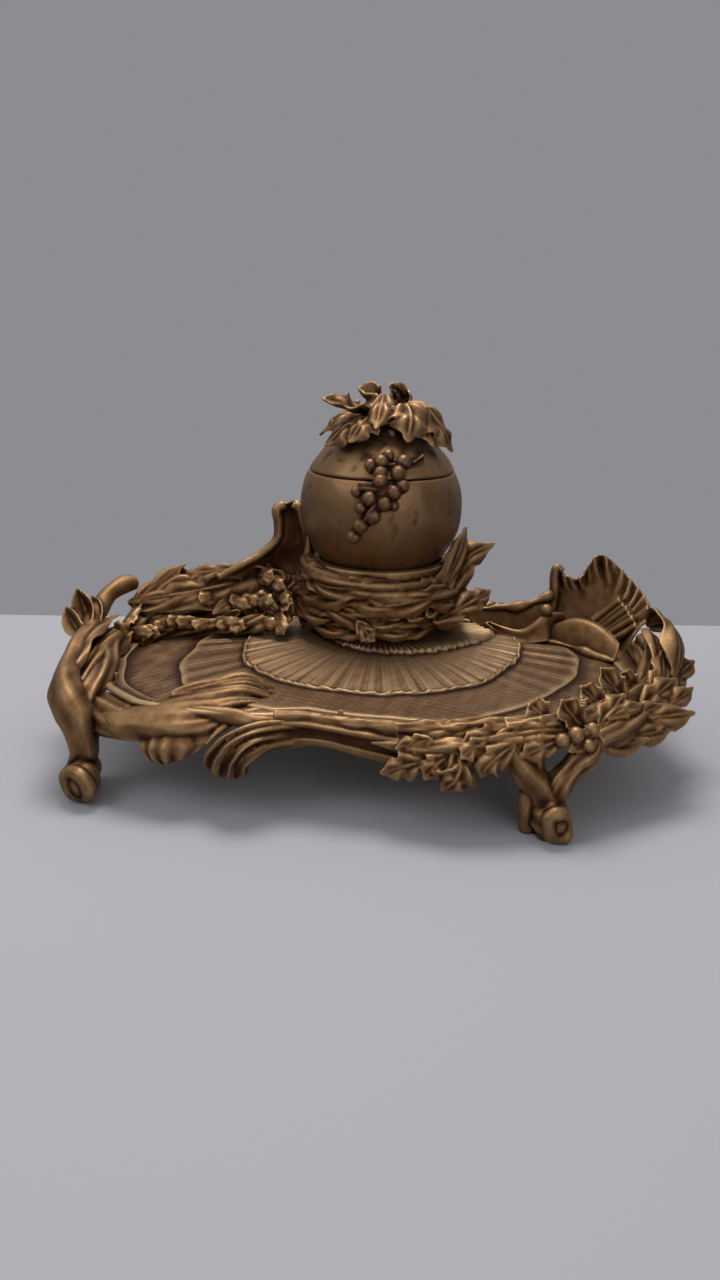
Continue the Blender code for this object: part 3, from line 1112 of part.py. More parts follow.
def grape_cluster_lid():
    rows = [(281, 30, 1.0), (268, 32, 1.1), (286, 38, 0.9), (272, 40, 1.1), (259, 35, 0.9)]
    bed = [grape_bed([(306, 40), (288, 35), (272, 34), (258, 32)])]
    cluster = cast("grape_cluster_lid", bed + grapes(rows), [ball_cutter(), seam_cutter(True), finial_shadow()])
    return dark_bronze(cluster)


def finial_shadow():
    """Cone over which the finial's leaves spread, kept clear of grapes."""
    low = math.radians(43)
    far = POT_RADIUS * 1.5
    near = POT_RADIUS * 0.5
    profile = [(0, POT_CENTRE_HEIGHT + near * math.sin(low)),
               (near * math.cos(low), POT_CENTRE_HEIGHT + near * math.sin(low)),
               (far * math.cos(low), POT_CENTRE_HEIGHT + far * math.sin(low)),
               (0, POT_CENTRE_HEIGHT + far * math.sin(low))]
    return turned(profile, ROUND_FACETS, Vector((POT_X, POT_Y, 0)))


def hinge_parts():
    """Three-knuckle hinge: two knuckles on the pot, one on the lid, and the pin through them."""
    axis = hinge_axis()
    across = Vector((1, 0, 0))
    gap = SEAT_GAP
    half = KNUCKLE_WIDTH / 2
    bore = PIN_RADIUS + gap

    def knuckle(centre):
        return rod(centre - across * (half - gap / 2), centre + across * (half - gap / 2), BARREL_RADIUS, 12)

    def plate(centre, down, width):
        """Plate from the barrel along the ball, standing a seat gap off it."""
        way = Vector((0, 0, -1 if down else 1))
        foot = POT_RADIUS + gap
        rings = []
        start = math.degrees(math.asin(SEAM_RISE / POT_RADIUS))
        reach = math.degrees(PLATE_HEIGHT / POT_RADIUS)
        for step in range(4):
            turn = math.radians(start + way.z * (1.6 + reach * step / 3))
            out = Vector((0, math.cos(turn), math.sin(turn)))
            middle = Vector((centre.x, POT_Y, POT_CENTRE_HEIGHT)) + out * foot
            left, right = middle - across * width / 2, middle + across * width / 2
            rings.append([left - out * LEAF_PLATE, right - out * LEAF_PLATE, right + out * LEAF_PLATE,
                          left + out * LEAF_PLATE])
        return loft(rings)

    def bore_tool():
        span = across * (KNUCKLE_WIDTH * 2)
        return rod(axis - span, axis + span, bore, SMALL_FACETS)

    side = across * KNUCKLE_WIDTH
    lower = cast("hinge_lower_leaf", [plate(axis, True, KNUCKLE_WIDTH * 3), knuckle(axis - side), knuckle(axis + side)],
                 [bore_tool(), rod(axis - across * (half + gap / 2), axis + across * (half + gap / 2),
                                   BARREL_RADIUS + gap, SMALL_FACETS * 2), ball_cutter()])
    upper = cast("hinge_upper_leaf", [plate(axis, False, KNUCKLE_WIDTH - gap), knuckle(axis)],
                 [bore_tool(), ball_cutter()])
    end = across * (KNUCKLE_WIDTH * 1.5 + gap)
    pin = cast("hinge_pin", [rod(axis - end, axis + end, PIN_RADIUS, SMALL_FACETS),
                             rod(axis + end * 0.999, axis + end + across * PIN_HEAD, PIN_HEAD_RADIUS, SMALL_FACETS)])
    return brass(lower), brass(upper), brass(pin)


def pot_fixing():
    """Stud from the pot's socle down through the tray, with washer and nut."""
    axis = Vector((POT_X, POT_Y, 0))
    under = TRAY_HEIGHT + HUB_RISE - TRAY_WALL
    top = TRAY_HEIGHT + HUB_RISE + STUD_GRIP
    stud = brass(cast("pot_stud", [rod(axis + Vector((0, 0, under - STUD_DEPTH)), axis + Vector((0, 0, top)),
                                       STUD_RADIUS - SEAT_GAP / 2, SMALL_FACETS)]))
    low = axis + Vector((0, 0, under - SEAT_GAP - WASHER_THICKNESS))
    washer = placed(rod(low, low + Vector((0, 0, WASHER_THICKNESS)), WASHER_RADIUS, ROUND_FACETS // 2), "pot_washer")
    tool = rod(low - Vector((0, 0, OVERRUN)), low + Vector((0, 0, WASHER_THICKNESS + OVERRUN)),
               STUD_RADIUS + SEAT_GAP, SMALL_FACETS)
    carved(washer, placed(tool, "washer_bore"), "DIFFERENCE")
    brass(largest_body(washer))
    nut_low = low - Vector((0, 0, SEAT_GAP + NUT_HEIGHT))
    hexagon_nut("pot_nut", nut_low, NUT_RADIUS, NUT_HEIGHT, STUD_RADIUS + SEAT_GAP)
    return stud


def tray_underside():
    """Height of the flat part of the tray's underside, near the rim."""
    return (TRAY_HEIGHT + HUB_RISE - RUFFLE_STEP - EDGE_CURL / 2 - TIER_STEP - OUTER_STEP - TRAY_WALL)


def rear_foot(name, angle, share):
    """Knobbed stem under the tray's rim with a lug for its screw."""
    stem = branch([spot(p) for p in [(angle, share, -0.05), (angle, share, 0.16), (angle, share, 0.36),
                                     (angle, share - 0.01, 0.58), (angle, share - 0.01, 1.0)]],
                  [radius_share * BRANCH_RADIUS for radius_share in (0.95, 1.3, 1.25, 0.8, 1.1)], knots=0.06)
    lug_at = spot((*SCREW_PLACES[name], 0))
    high = tray_underside() - SEAT_GAP
    lug = rod(Vector((lug_at.x, lug_at.y, high - LUG_THICKNESS)), Vector((lug_at.x, lug_at.y, high + OVERRUN)),
              LUG_RADIUS, SMALL_FACETS)
    arm_from = spot((angle, share - 0.01, 0))
    arm_from.z = high - LUG_THICKNESS / 2
    arm_to = Vector((lug_at.x, lug_at.y, high - LUG_THICKNESS / 2))
    arm = rod(arm_from, arm_to, LUG_THICKNESS / 2, 8)
    bore = rod(Vector((lug_at.x, lug_at.y, 0)), Vector((lug_at.x, lug_at.y, TRAY_HEIGHT * 2)),
               SCREW_RADIUS + SCREW_FIT, SMALL_FACETS)
    foot = cast(name, [stem, lug, arm], [foot_ceiling(high), table_cutter(), bore])
    return bronze(foot)


def foot_ceiling(height):
    """Everything above the seat under the tray."""
    wide = (SIDE_REACH + FRONT_REACH)
    return turned([(0, height), (wide, height), (wide, height + wide), (0, height + wide)], SMALL_FACETS,
                  Vector((POT_X, POT_Y, 0)))


def casting_screws():
    """Cheese-head screws from below, one to each casting and one through each rear foot's lug."""
    for name, place in SCREW_PLACES.items():
        lugged = name.endswith("foot")
        point = spot((*place, 0))
        under = tray_underside() - SEAT_GAP - (LUG_THICKNESS if lugged else GROOVE_DEPTH / 2)
        top = TRAY_HEIGHT - SEAT_GAP * 2 if lugged else TRAY_HEIGHT + SCREW_BITE
        head_top = Vector((point.x, point.y, under - SEAT_GAP))
        head_low = head_top - Vector((0, 0, SCREW_HEAD))
        tip = Vector((point.x, point.y, top))
        screw = cast(f"screw_{name}", [rod(head_low, head_top, SCREW_HEAD_RADIUS, SMALL_FACETS),
                                       rod(head_low.lerp(head_top, 0.5), tip, SCREW_RADIUS, SMALL_FACETS)])
        brass(screw)


SCREW_PLACES = {
    "left_branch_leg": (214, 0.955),
    "left_rear_scroll": (180, 0.93),
    "front_left_cartouche": (238, 0.93),
    "front_moulding": (262, 0.955),
    "front_leaf_spray": (281, 0.955),
    "right_front_leg": (298, 0.96),
    "right_leaf_branch": (322, 0.955),
    "rear_right_crest": (5, 0.94),
    "rear_rim_moulding": (90, 0.91),
    "rear_left_foot": (185, 0.70),
    "rear_right_foot": (352, 0.70),
}


def pinned(item, point):
    """Move an object's origin onto a point without moving its shape."""
    shift = Vector(point) - item.location
    item.data.transform(Matrix.Translation(-shift))
    item.location = point


def stand():
    scene_cleared()
    shell_tray()
    left_branch_leg()
    left_rear_scroll()
    front_left_cartouche()
    front_moulding()
    front_leaf_spray()
    right_front_leg()
    right_leaf_branch()
    rear_right_crest()
    rear_rim_moulding()
    leaf_nest()
    pot_body()
    glass_liner()
    lid = lid_shell()
    finial = vine_leaf_finial()
    nut = finial_nut()
    grape_cluster_pot()
    lid_grapes = grape_cluster_lid()
    _, upper_leaf, _ = hinge_parts()
    pot_fixing()
    rear_foot("rear_left_foot", 181, 0.86)
    rear_foot("rear_right_foot", 357, 0.86)
    casting_screws()
    axis = hinge_axis()
    for item in (lid, finial, nut, lid_grapes, upper_leaf):
        pinned(item, axis)


stand()
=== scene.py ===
"""Looks of the desk inkstand: antique gilt bronze castings, a fluted shell tray and a lidded ball pot.

Metres, +Z up. A place on the tray is written as three numbers: the angle about the pot's axis in degrees,
the share of the rim's reach at that angle, and the share of the tray's height. Tables of places are text,
with commas between places and one line for each row.
"""
import math

import bmesh
import bpy
import numpy as np
from mathutils import Matrix, Vector


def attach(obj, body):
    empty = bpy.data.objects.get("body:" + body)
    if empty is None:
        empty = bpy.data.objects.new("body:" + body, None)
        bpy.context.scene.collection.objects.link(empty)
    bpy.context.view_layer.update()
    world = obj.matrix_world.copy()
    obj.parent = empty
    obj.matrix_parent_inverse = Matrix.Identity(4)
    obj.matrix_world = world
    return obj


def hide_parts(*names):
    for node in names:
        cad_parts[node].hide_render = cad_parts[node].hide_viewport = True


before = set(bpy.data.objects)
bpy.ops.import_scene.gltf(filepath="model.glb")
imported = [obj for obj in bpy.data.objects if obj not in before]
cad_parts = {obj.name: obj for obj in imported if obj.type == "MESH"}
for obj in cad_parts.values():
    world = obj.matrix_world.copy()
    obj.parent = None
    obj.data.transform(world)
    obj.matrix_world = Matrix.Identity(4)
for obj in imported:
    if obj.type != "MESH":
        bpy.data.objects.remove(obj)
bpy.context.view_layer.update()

# The frame's sizes
REACH = 0.130
POT_X = 0.0034
POT_Y = 0.047
TRAY_HEIGHT = 0.037
HUB_RISE = 0.0044
HUB_REACH = 0.024
BORE_REACH = 0.0034
POT_RADIUS = 0.038
POT_CENTRE = 0.100
SEAM_HEIGHT = 0.1164
SEAM_GAP = 0.0006
NEST_RADIUS = 0.0335
NEST_TOP = 0.075
LEAF_WIDTH = 0.012
BRANCH_RADIUS = 0.006
RAIL_RADIUS = 0.0046

# Sizes of the carved surfaces
# Painted light and shade on the tray: how much the fan inside the tier is painted lighter, and how much the
# tray outside it is painted darker
FAN_PAINTED_LIGHT = 0.19
FIELD_PAINTED_SHADE = 0.10
RELIEF_STEP = 0.0009
LIP_WIDTH = 0.004
RUFFLE_DROP = 0.0016
TIER_FALL = 0.0006
TIER_DROP = 0.0013
OUTER_RISE = 0.0003
OUTER_DROP = 0.0009
TRAY_WALL = 0.0026
MOULDING_DEPTH = 0.0048
WINDING_RADIUS = 0.0034
POT_WALL = 0.0026
LIP_SET_BACK = 0.0005
LINER_DEPTH = 0.040
LEDGE_DEPTH = 0.0023
GRAPE_RADIUS = 0.0036
FINIAL_LEAF_WIDTH = 0.016
VOXEL = 0.00045
FINE_VOXEL = 0.0004
GRAPE_VOXEL = 0.00035
SHEET_FRONT = (0, -1, 0.6)
LEAF_TIP = 0.06

# Rim's reach, and where each tier of the shell ends: (angle, share)
RIM = [
    (-90, 0.94), (-75, 1.01), (-60, 1.08), (-45, 1.06), (-35, 1.06), (-20, 0.985), (-5, 0.91), (5, 0.77),
    (15, 0.55), (30, 0.40), (60, 0.34), (90, 0.33), (120, 0.34), (150, 0.40), (165, 0.60), (172, 0.78),
    (180, 0.89), (190, 0.95), (205, 1.03), (218, 1.10), (226, 1.10), (235, 1.05), (245, 0.985), (255, 0.915),
]
RUFFLE = [
    (-90, 0.31), (-46, 0.355), (-10, 0.43), (12, 0.34), (30, 0.25), (90, 0.24), (150, 0.25), (190, 0.23),
    (220, 0.23), (240, 0.26),
]
TIER = [
    (-90, 0.70), (-65, 0.68), (-40, 0.59), (-20, 0.54), (-5, 0.48), (10, 0.42), (30, 0.29), (90, 0.27),
    (150, 0.29), (170, 0.40), (185, 0.44), (195, 0.48), (208, 0.54), (225, 0.63), (247, 0.68),
]
OUTER = [
    (-90, 0.92), (-76, 0.95), (-68, 0.90), (-41, 0.82), (-25, 0.76), (-10, 0.66), (10, 0.52), (30, 0.32),
    (90, 0.295), (150, 0.32), (170, 0.55), (187, 0.62), (200, 0.69), (216, 0.82), (226, 0.89), (253, 0.89),
]
FIELD = [
    (-90, 0.95), (-40, 0.95), (-31, 0.90), (-17, 0.86), (-8, 0.80), (5, 0.80), (15, 0.84), (90, 0.90),
    (165, 0.88), (184, 0.90), (226, 0.93),
]


def around(table, angle):
    turn = (angle - table[0][0]) % 360
    rows = [((a - table[0][0]) % 360, v) for a, v in table] + [(360, table[0][1])]
    for (a0, v0), (a1, v1) in zip(rows, rows[1:]):
        if a0 <= turn <= a1:
            part = (turn - a0) / (a1 - a0)
            return v0 + (v1 - v0) * (part + part * part * (3 - 2 * part)) / 2
    return rows[-1][1]


def spot(place):
    angle, share, height = place
    turn = math.radians(angle)
    reach = share * around(RIM, angle) * REACH
    return np.array((POT_X + math.cos(turn) * reach, POT_Y + math.sin(turn) * reach, height * TRAY_HEIGHT))


def numbers(table):
    return [[float(value) for value in row.split()] for row in table.split(",")]


def spots(places):
    return np.array([spot(place) for place in numbers(places)])


def ball(azimuth, elevation, radius):
    turn, lift = math.radians(azimuth), math.radians(elevation)
    return np.array((POT_X + math.cos(turn) * math.cos(lift) * radius,
                     POT_Y + math.sin(turn) * math.cos(lift) * radius,
                     POT_CENTRE + math.sin(lift) * radius))


def heading(azimuth, lean):
    turn, tilt = math.radians(azimuth), math.radians(lean)
    return np.array((math.cos(turn) * math.sin(tilt), math.sin(turn) * math.sin(tilt), math.cos(tilt)))


def unit(vectors):
    return vectors / np.maximum(np.linalg.norm(vectors, axis=-1, keepdims=True), 1e-12)


def eased(rows, count):
    """Smooth run through rows of points or numbers, sampled evenly."""
    rows = np.asarray(rows, float)
    last = len(rows) - 1
    padded = np.concatenate([rows[:1] * 2 - rows[1:2], rows, rows[-1:] * 2 - rows[-2:-1]])
    spread = np.linspace(0, last, count)
    low = np.minimum(spread.astype(int), last - 1)
    t = (spread - low).reshape((-1,) + (1,) * (rows.ndim - 1))
    a, b, c, d = padded[low], padded[low + 1], padded[low + 2], padded[low + 3]
    return (b * 2 + (c - a) * t + (a * 2 - b * 5 + c * 4 - d) * t * t + (b * 3 - a - c * 3 + d) * t ** 3) / 2


WAVES = np.random.default_rng(11).normal(size=(24, 3))
PHASES = np.random.default_rng(12).uniform(0, math.tau, 24)


def rough(points, scale, first=0, count=8):
    """Cheap smooth noise of about unit size, from a few crossed waves of that wavelength in metres."""
    total = np.zeros(points.shape[:-1])
    for k in range(first, first + count):
        wave = unit(WAVES[k]) * (math.tau / scale) * (0.7 + 0.6 * (k % 5) / 5)
        total += np.sin(points @ wave + PHASES[k])
    return total / math.sqrt(count / 2)


def facing(front):
    """Directions in which a grid of points faces."""
    return np.cross(np.gradient(front, axis=0), np.gradient(front, axis=1))


def shell(front, thick):
    """Closed sheet behind a grid of front points."""
    n, m = front.shape[:2]
    normal = unit(facing(front))
    back = front - normal * np.broadcast_to(thick, (n, m))[..., None]
    verts = np.concatenate([front.reshape(-1, 3), back.reshape(-1, 3)])
    grid = np.arange(n * m).reshape(n, m)
    a, b, c, d = grid[:-1, :-1], grid[1:, :-1], grid[1:, 1:], grid[:-1, 1:]
    top = np.stack([a, b, c, d], -1).reshape(-1, 4)
    under = np.stack([d, c, b, a], -1).reshape(-1, 4) + n * m
    rim = np.concatenate([grid[:-1, 0], grid[-1, :-1], grid[:0:-1, -1], grid[0, :0:-1]])
    after = np.roll(rim, -1)
    side = np.stack([after, rim, rim + n * m, after + n * m], -1)
    return verts, np.concatenate([top, under, side])


def faced(front, face):
    """The grid turned so that its normals look towards a direction."""
    return front if facing(front).reshape(-1, 3).sum(0) @ face > 0 else front[:, ::-1]


def sheet(rows, thick, relief=None, size=(48, 30)):
    """Bent sheet through rows of places, with carved relief and thinned edges."""
    grid = np.array([spots(row) for row in rows.strip().split("\n")])
    front = eased(grid, size[0])
    front = eased(front.transpose(1, 0, 2), size[1]).transpose(1, 0, 2)
    u, v = np.linspace(0, 1, size[0])[:, None], np.linspace(0, 1, size[1])[None, :]
    normal = unit(facing(front))
    sign = 1 if normal.reshape(-1, 3).sum(0) @ np.array(SHEET_FRONT) > 0 else -1
    if relief is not None:
        front = front + normal * (sign * relief(u, v))[..., None]
    near = np.minimum(1, np.minimum(np.minimum(u, 1 - u) * 8, np.minimum(v, 1 - v) * 8))
    width = thick * (0.35 + 0.65 * np.sqrt(np.maximum(near, 0))) + u * 0
    if sign < 0:
        front, width = front[:, ::-1], width[:, ::-1]
    return shell(front, width)


def strips(below, above):
    """Faces between rings of point numbers."""
    return np.stack([below, np.roll(below, -1, 1), np.roll(above, -1, 1), above], -1).reshape(-1, 4)


def lofted(rings, start, end):
    """Closed body through rings, with a point at each end."""
    n, m = rings.shape[:2]
    grid = np.arange(n * m).reshape(n, m)
    caps = [(n * m, grid[0, (k + 1) % m], grid[0, k], grid[0, k]) for k in range(m)]
    caps += [(n * m + 1, grid[-1, k], grid[-1, (k + 1) % m], grid[-1, (k + 1) % m]) for k in range(m)]
    return (np.concatenate([rings.reshape(-1, 3), start, end]),
            np.concatenate([strips(grid[:-1], grid[1:]), np.array(caps)]))


def tube(points, radii, sides=18, count=64, groove=0.0, grooves=6, twist=0.0, gnarl=0.0):
    """Stem through points, with grooves that wind along it and knotty swellings."""
    line = eased(points, count)
    size = eased(np.asarray(radii, float), count)
    ways = unit(np.gradient(line, axis=0))
    side = np.cross(ways[0], (0.3, 0.5, 0.8))
    rings = []
    turns = np.arange(sides) * math.tau / sides
    for i in range(count):
        side = unit(side - ways[i] * (side @ ways[i]))
        other = np.cross(ways[i], side)
        swell = 1 + groove * np.cos(turns * grooves + twist * math.tau * i / count)
        round_way = np.cos(turns)[:, None] * side + np.sin(turns)[:, None] * other
        rings.append(line[i] + size[i] * swell[:, None] * round_way)
    rings = np.array(rings)
    if gnarl:
        out = unit(rings - line[:, None])
        rings = rings + out * (gnarl * size[:, None] * rough(rings, 0.012))[..., None]
    return lofted(rings, line[:1], line[-1:])


def leaf(points, width, face, lobes=3, cup=0.25, thick=0.0017, ruffle=0.16, vein=0.055, sweep=0.55,
         base=0.42, size=(56, 25), notch=0.42):
    """Carved leaf: swept lobes, a groove along the middle, veins into each lobe and ruffled edges."""
    line = eased(points, size[0])
    ways = unit(np.gradient(line, axis=0))
    side = unit(np.cross(ways, np.asarray(face, float)))
    up = np.cross(side, ways)
    u = np.linspace(0, 1, size[0])[:, None]
    v = np.linspace(-1, 1, size[1])[None, :]
    bulge = base + (1 - base) * np.sin(math.pi * np.minimum(u * 1.12, 1)) ** 0.7
    bulge = bulge * np.sqrt(np.maximum(1 - np.maximum((u - 0.72) / 0.28, 0) ** 2.2, LEAF_TIP * LEAF_TIP))
    cut = np.abs(np.cos(math.pi * (lobes * u + 0.12))) ** 5
    half = width / 2 * bulge * (1 - notch * cut * np.minimum(1, (1 - u) * 6) * np.minimum(1, u * 5 + 0.3))
    lift = cup * half * v * v + ruffle * half * np.abs(v) ** 2.5 * np.sin(math.tau * (lobes * u + 0.3) + v)
    ribs = np.cos(math.tau * (lobes * u - 0.75 * np.abs(v) + 0.1)) * np.minimum(1, np.abs(v) * 3)
    groove = np.exp(-(v / 0.10) ** 2) - 1.5 * np.exp(-(v / 0.32) ** 2)
    lift = lift + width * vein * ribs * bulge * (1 - u * 0.5) + width * 0.07 * bulge * groove
    reach = half * (0.15 + np.abs(v)) * sweep * (1 - u)
    front = (line[:, None] + side[:, None] * (v * half)[..., None] + up[:, None] * lift[..., None]
             + ways[:, None] * (reach * np.abs(v))[..., None])
    thin = thick * (0.45 + 0.55 * np.sqrt(np.maximum(1 - np.abs(v) ** 3, 0))) * (1 - 0.35 * u)
    front = front + up[:, None] * (thin / 2)[..., None]
    return shell(faced(front, up.sum(0)), thin)


def bead(centre, radius, squash=(1, 1, 1), rings=12, facets=20):
    """Round bead."""
    lift = np.linspace(-math.pi / 2, math.pi / 2, rings + 1)[1:-1]
    turns = np.arange(facets) * math.tau / facets
    body = np.stack([np.cos(lift)[:, None] * np.cos(turns), np.cos(lift)[:, None] * np.sin(turns),
                     np.sin(lift)[:, None] + turns * 0], -1)
    body, low, high = (np.array(points) * radius * np.array(squash) + centre
                       for points in (body, [(0, 0, -1)], [(0, 0, 1)]))
    return lofted(body, low, high)


def turned(profile, facets=160, dents=None):
    """Body of revolution about the pot's axis, closed where its section leaves the axis."""
    profile = np.asarray(profile, float)
    turns = np.arange(facets) * math.tau / facets
    rings = np.stack([profile[:, 0, None] * np.cos(turns), profile[:, 0, None] * np.sin(turns),
                      profile[:, 1, None] + turns * 0], -1) + np.array((POT_X, POT_Y, 0))
    if dents is not None:
        rings = dents(rings)
    grid = np.arange(len(profile) * facets).reshape(len(profile), facets)
    hollow = profile[0, 0] > 1e-6
    faces = strips(grid, np.roll(grid, -1, 0)) if hollow else strips(grid[:-1], grid[1:])
    return rings.reshape(-1, 3), faces


def placed(name, data):
    item = bpy.data.objects.new(name, data)
    bpy.context.scene.collection.objects.link(item)
    return item


def mesh_of(name, parts):
    """Object whose mesh joins the parts."""
    verts, faces, start = [], [], 0
    for points, quads in parts:
        verts.append(points)
        faces.append(quads + start)
        start += len(points)
    verts, faces = np.concatenate(verts), np.concatenate(faces)
    rows = [tuple(dict.fromkeys(row)) for row in faces.tolist()]
    data = bpy.data.meshes.new(name)
    data.from_pydata(verts.tolist(), [], [row for row in rows if len(row) > 2])
    data.validate()
    return placed(name, data)


def welded(item):
    mesh = bmesh.new()
    mesh.from_mesh(item.data)
    bmesh.ops.remove_doubles(mesh, verts=mesh.verts, dist=1e-6)
    bmesh.ops.recalc_face_normals(mesh, faces=mesh.faces)
    mesh.to_mesh(item.data)
    mesh.free()


def applied(item):
    bpy.context.view_layer.update()
    graph = bpy.context.evaluated_depsgraph_get()
    data = bpy.data.meshes.new_from_object(item.evaluated_get(graph))
    item.modifiers.clear()
    old = item.data
    item.data = data
    bpy.data.meshes.remove(old)
    return item


def vectors(rows, kind, count):
    flat = np.empty(count * 3, np.float32)
    rows.foreach_get(kind, flat)
    return flat.reshape(-1, 3).astype(float)


def points_of(data):
    return vectors(data.vertices, "co", len(data.vertices))


def normals_of(data):
    return vectors(data.vertex_normals, "vector", len(data.vertices))


def move_points(data, points):
    data.vertices.foreach_set("co", points.astype(np.float32).ravel())
    data.update()


def mark_wear_and_painted_light(data, values):
    mark = data.attributes.get("wear_and_painted_light") or data.attributes.new("wear_and_painted_light", "FLOAT", "POINT")
    mark.data.foreach_set("value", values.astype(np.float32))


def spread(points, pairs, rounds):
    """Points eased towards their neighbours a number of times."""
    count = len(points)
    ends = np.concatenate([pairs, pairs[:, ::-1]])
    weight = np.maximum(np.bincount(ends[:, 0], minlength=count), 1)[:, None]
    for _ in range(rounds):
        total = np.stack([np.bincount(ends[:, 0], weights=points[ends[:, 1], k], minlength=count)
                          for k in range(3)], -1)
        points = points * 0.4 + total / weight * 0.6
    return points


def worn_and_shaded(item, grain=0.00003, step=0.0055, depth=0.0008, rounds=16):
    """Cast unevenness, and how proud of its surroundings each point stands, kept as a point attribute that
    the gilding turns dark in recesses, as patina and painted shade, and bright where proud, as rubbed
    gilding.
    """
    data = item.data
    points, normals = points_of(data), normals_of(data)
    bumps = rough(points, step) * 0.6 + rough(points, step / 3.1, 8) * 0.4
    points = points + normals * (bumps * grain)[:, None]
    move_points(data, points)
    pairs = np.empty(len(data.edges) * 2, np.int32)
    data.edges.foreach_get("vertices", pairs)
    smooth = spread(points, pairs.reshape(-1, 2), rounds)
    # Low points found here are painted dark by the gilding: patina and painted shade
    proud = ((points - smooth) * normals_of(data)).sum(-1) / depth
    mark_wear_and_painted_light(data, np.clip(0.5 + proud, 0, 1))


def dressed(item, look, body, node):
    item.data.materials.clear()
    item.data.materials.append(look)
    item.data.shade_smooth()
    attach(item, body)
    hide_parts(node)


def fused(name, parts, voxel=VOXEL, ease=3, keep=0.6):
    """One casting: its parts melted together, softened and lightened."""
    item = mesh_of(name, parts)
    melt = item.modifiers.new("melt", "REMESH")
    melt.mode = "VOXEL"
    melt.voxel_size = voxel
    soft = item.modifiers.new("soft", "SMOOTH")
    soft.factor = 0.5
    soft.iterations = ease
    applied(item)
    thin = item.modifiers.new("thin", "DECIMATE")
    thin.ratio = keep
    return applied(item)


# Materials
def plain(name, colour, roughness):
    look = bpy.data.materials.new(name)
    look.use_nodes = True
    surface = look.node_tree.nodes["Principled BSDF"]
    surface.inputs["Base Color"].default_value = (*colour, 1)
    surface.inputs["Roughness"].default_value = roughness
    return look


def gilt(name, deep, low, middle, high, rough_low, rough_high, tint, metallic=0.88, blotch=55.0):
    """Aged gilding: dark in the recesses, as patina and painted shade, brown on the flats and rubbed bright
    where it stands proud.
    """
    look = bpy.data.materials.new(name)
    look.use_nodes = True
    tree = look.node_tree
    surface = tree.nodes["Principled BSDF"]
    new, link = tree.nodes.new, tree.links.new
    place = new("ShaderNodeTexCoord")

    def noise(scale, detail, rough_value):
        node = new("ShaderNodeTexNoise")
        node.inputs["Scale"].default_value = scale
        node.inputs["Detail"].default_value = detail
        node.inputs["Roughness"].default_value = rough_value
        link(place.outputs["Object"], node.inputs["Vector"])
        return node.outputs["Fac"]

    def sums(kind, a, b):
        node = new("ShaderNodeMath")
        node.operation = kind
        for socket, value in ((node.inputs[0], a), (node.inputs[1], b)):
            if isinstance(value, (int, float)):
                socket.default_value = value
            else:
                link(value, socket)
        return node.outputs[0]

    def ramp(value, stops):
        node = new("ShaderNodeValToRGB")
        while len(node.color_ramp.elements) < len(stops):
            node.color_ramp.elements.new(0.5)
        for element, (where, colour) in zip(node.color_ramp.elements, stops):
            element.position = where
            element.color = (*colour, 1)
        link(value, node.inputs["Fac"])
        return node.outputs["Color"]

    # The point attribute read here paints the recesses dark, as patina and painted shade, and proud points
    # bright, as rubbed gilding; on the tray it also carries painted light and shade
    wear_and_painted_light = new("ShaderNodeAttribute")
    wear_and_painted_light.attribute_name = "wear_and_painted_light"
    cloud = noise(blotch, 5, 0.6)
    fine = noise(blotch * 14, 4, 0.65)
    mixed = sums("ADD", wear_and_painted_light.outputs["Fac"], sums("MULTIPLY", sums("SUBTRACT", cloud, 0.5), tint * 1.6))
    mixed = sums("ADD", mixed, sums("MULTIPLY", sums("SUBTRACT", fine, 0.5), tint * 0.7))
    colour = ramp(mixed, [(0.12, deep), (0.36, low), (0.56, middle), (0.86, high)])
    link(colour, surface.inputs["Base Color"])
    polish = sums("ADD", sums("MULTIPLY", mixed, rough_low - rough_high), rough_high)
    polish = sums("ADD", polish, sums("MULTIPLY", sums("SUBTRACT", fine, 0.5), 0.25))
    link(polish, surface.inputs["Roughness"])
    surface.inputs["Metallic"].default_value = metallic
    relief = new("ShaderNodeBump")
    relief.inputs["Strength"].default_value = 0.35
    relief.inputs["Distance"].default_value = 0.0004
    bumps = sums("MULTIPLY", fine, 0.6)
    bumps = sums("ADD", bumps, sums("MULTIPLY", noise(blotch * 5, 6, 0.6), 0.8))
    link(bumps, relief.inputs["Height"])
    link(relief.outputs["Normal"], surface.inputs["Normal"])
    return look


TRAY_LOOK = gilt("tray_gilding", (0.038, 0.017, 0.008), (0.104, 0.053, 0.025), (0.196, 0.114, 0.058),
                 (0.320, 0.212, 0.115), 0.50, 0.64, metallic=0.85, blotch=30.0, tint=0.22)
CAST_LOOK = gilt("casting_gilding", (0.013, 0.005, 0.002), (0.062, 0.026, 0.010), (0.168, 0.087, 0.037),
                 (0.325, 0.203, 0.096), 0.47, 0.64, metallic=0.88, tint=0.22)
POT_LOOK = gilt("pot_gilding", (0.008, 0.003, 0.002), (0.034, 0.0135, 0.0065), (0.070, 0.030, 0.0145),
                (0.215, 0.122, 0.059), 0.45, 0.64, metallic=0.85, blotch=38.0, tint=0.40)
BRASS_LOOK = gilt("fixing_brass_wear", (0.060, 0.036, 0.014), (0.240, 0.160, 0.060), (0.480, 0.340, 0.140),
                  (0.700, 0.540, 0.280), 0.28, 0.50, blotch=160.0, tint=0.4)


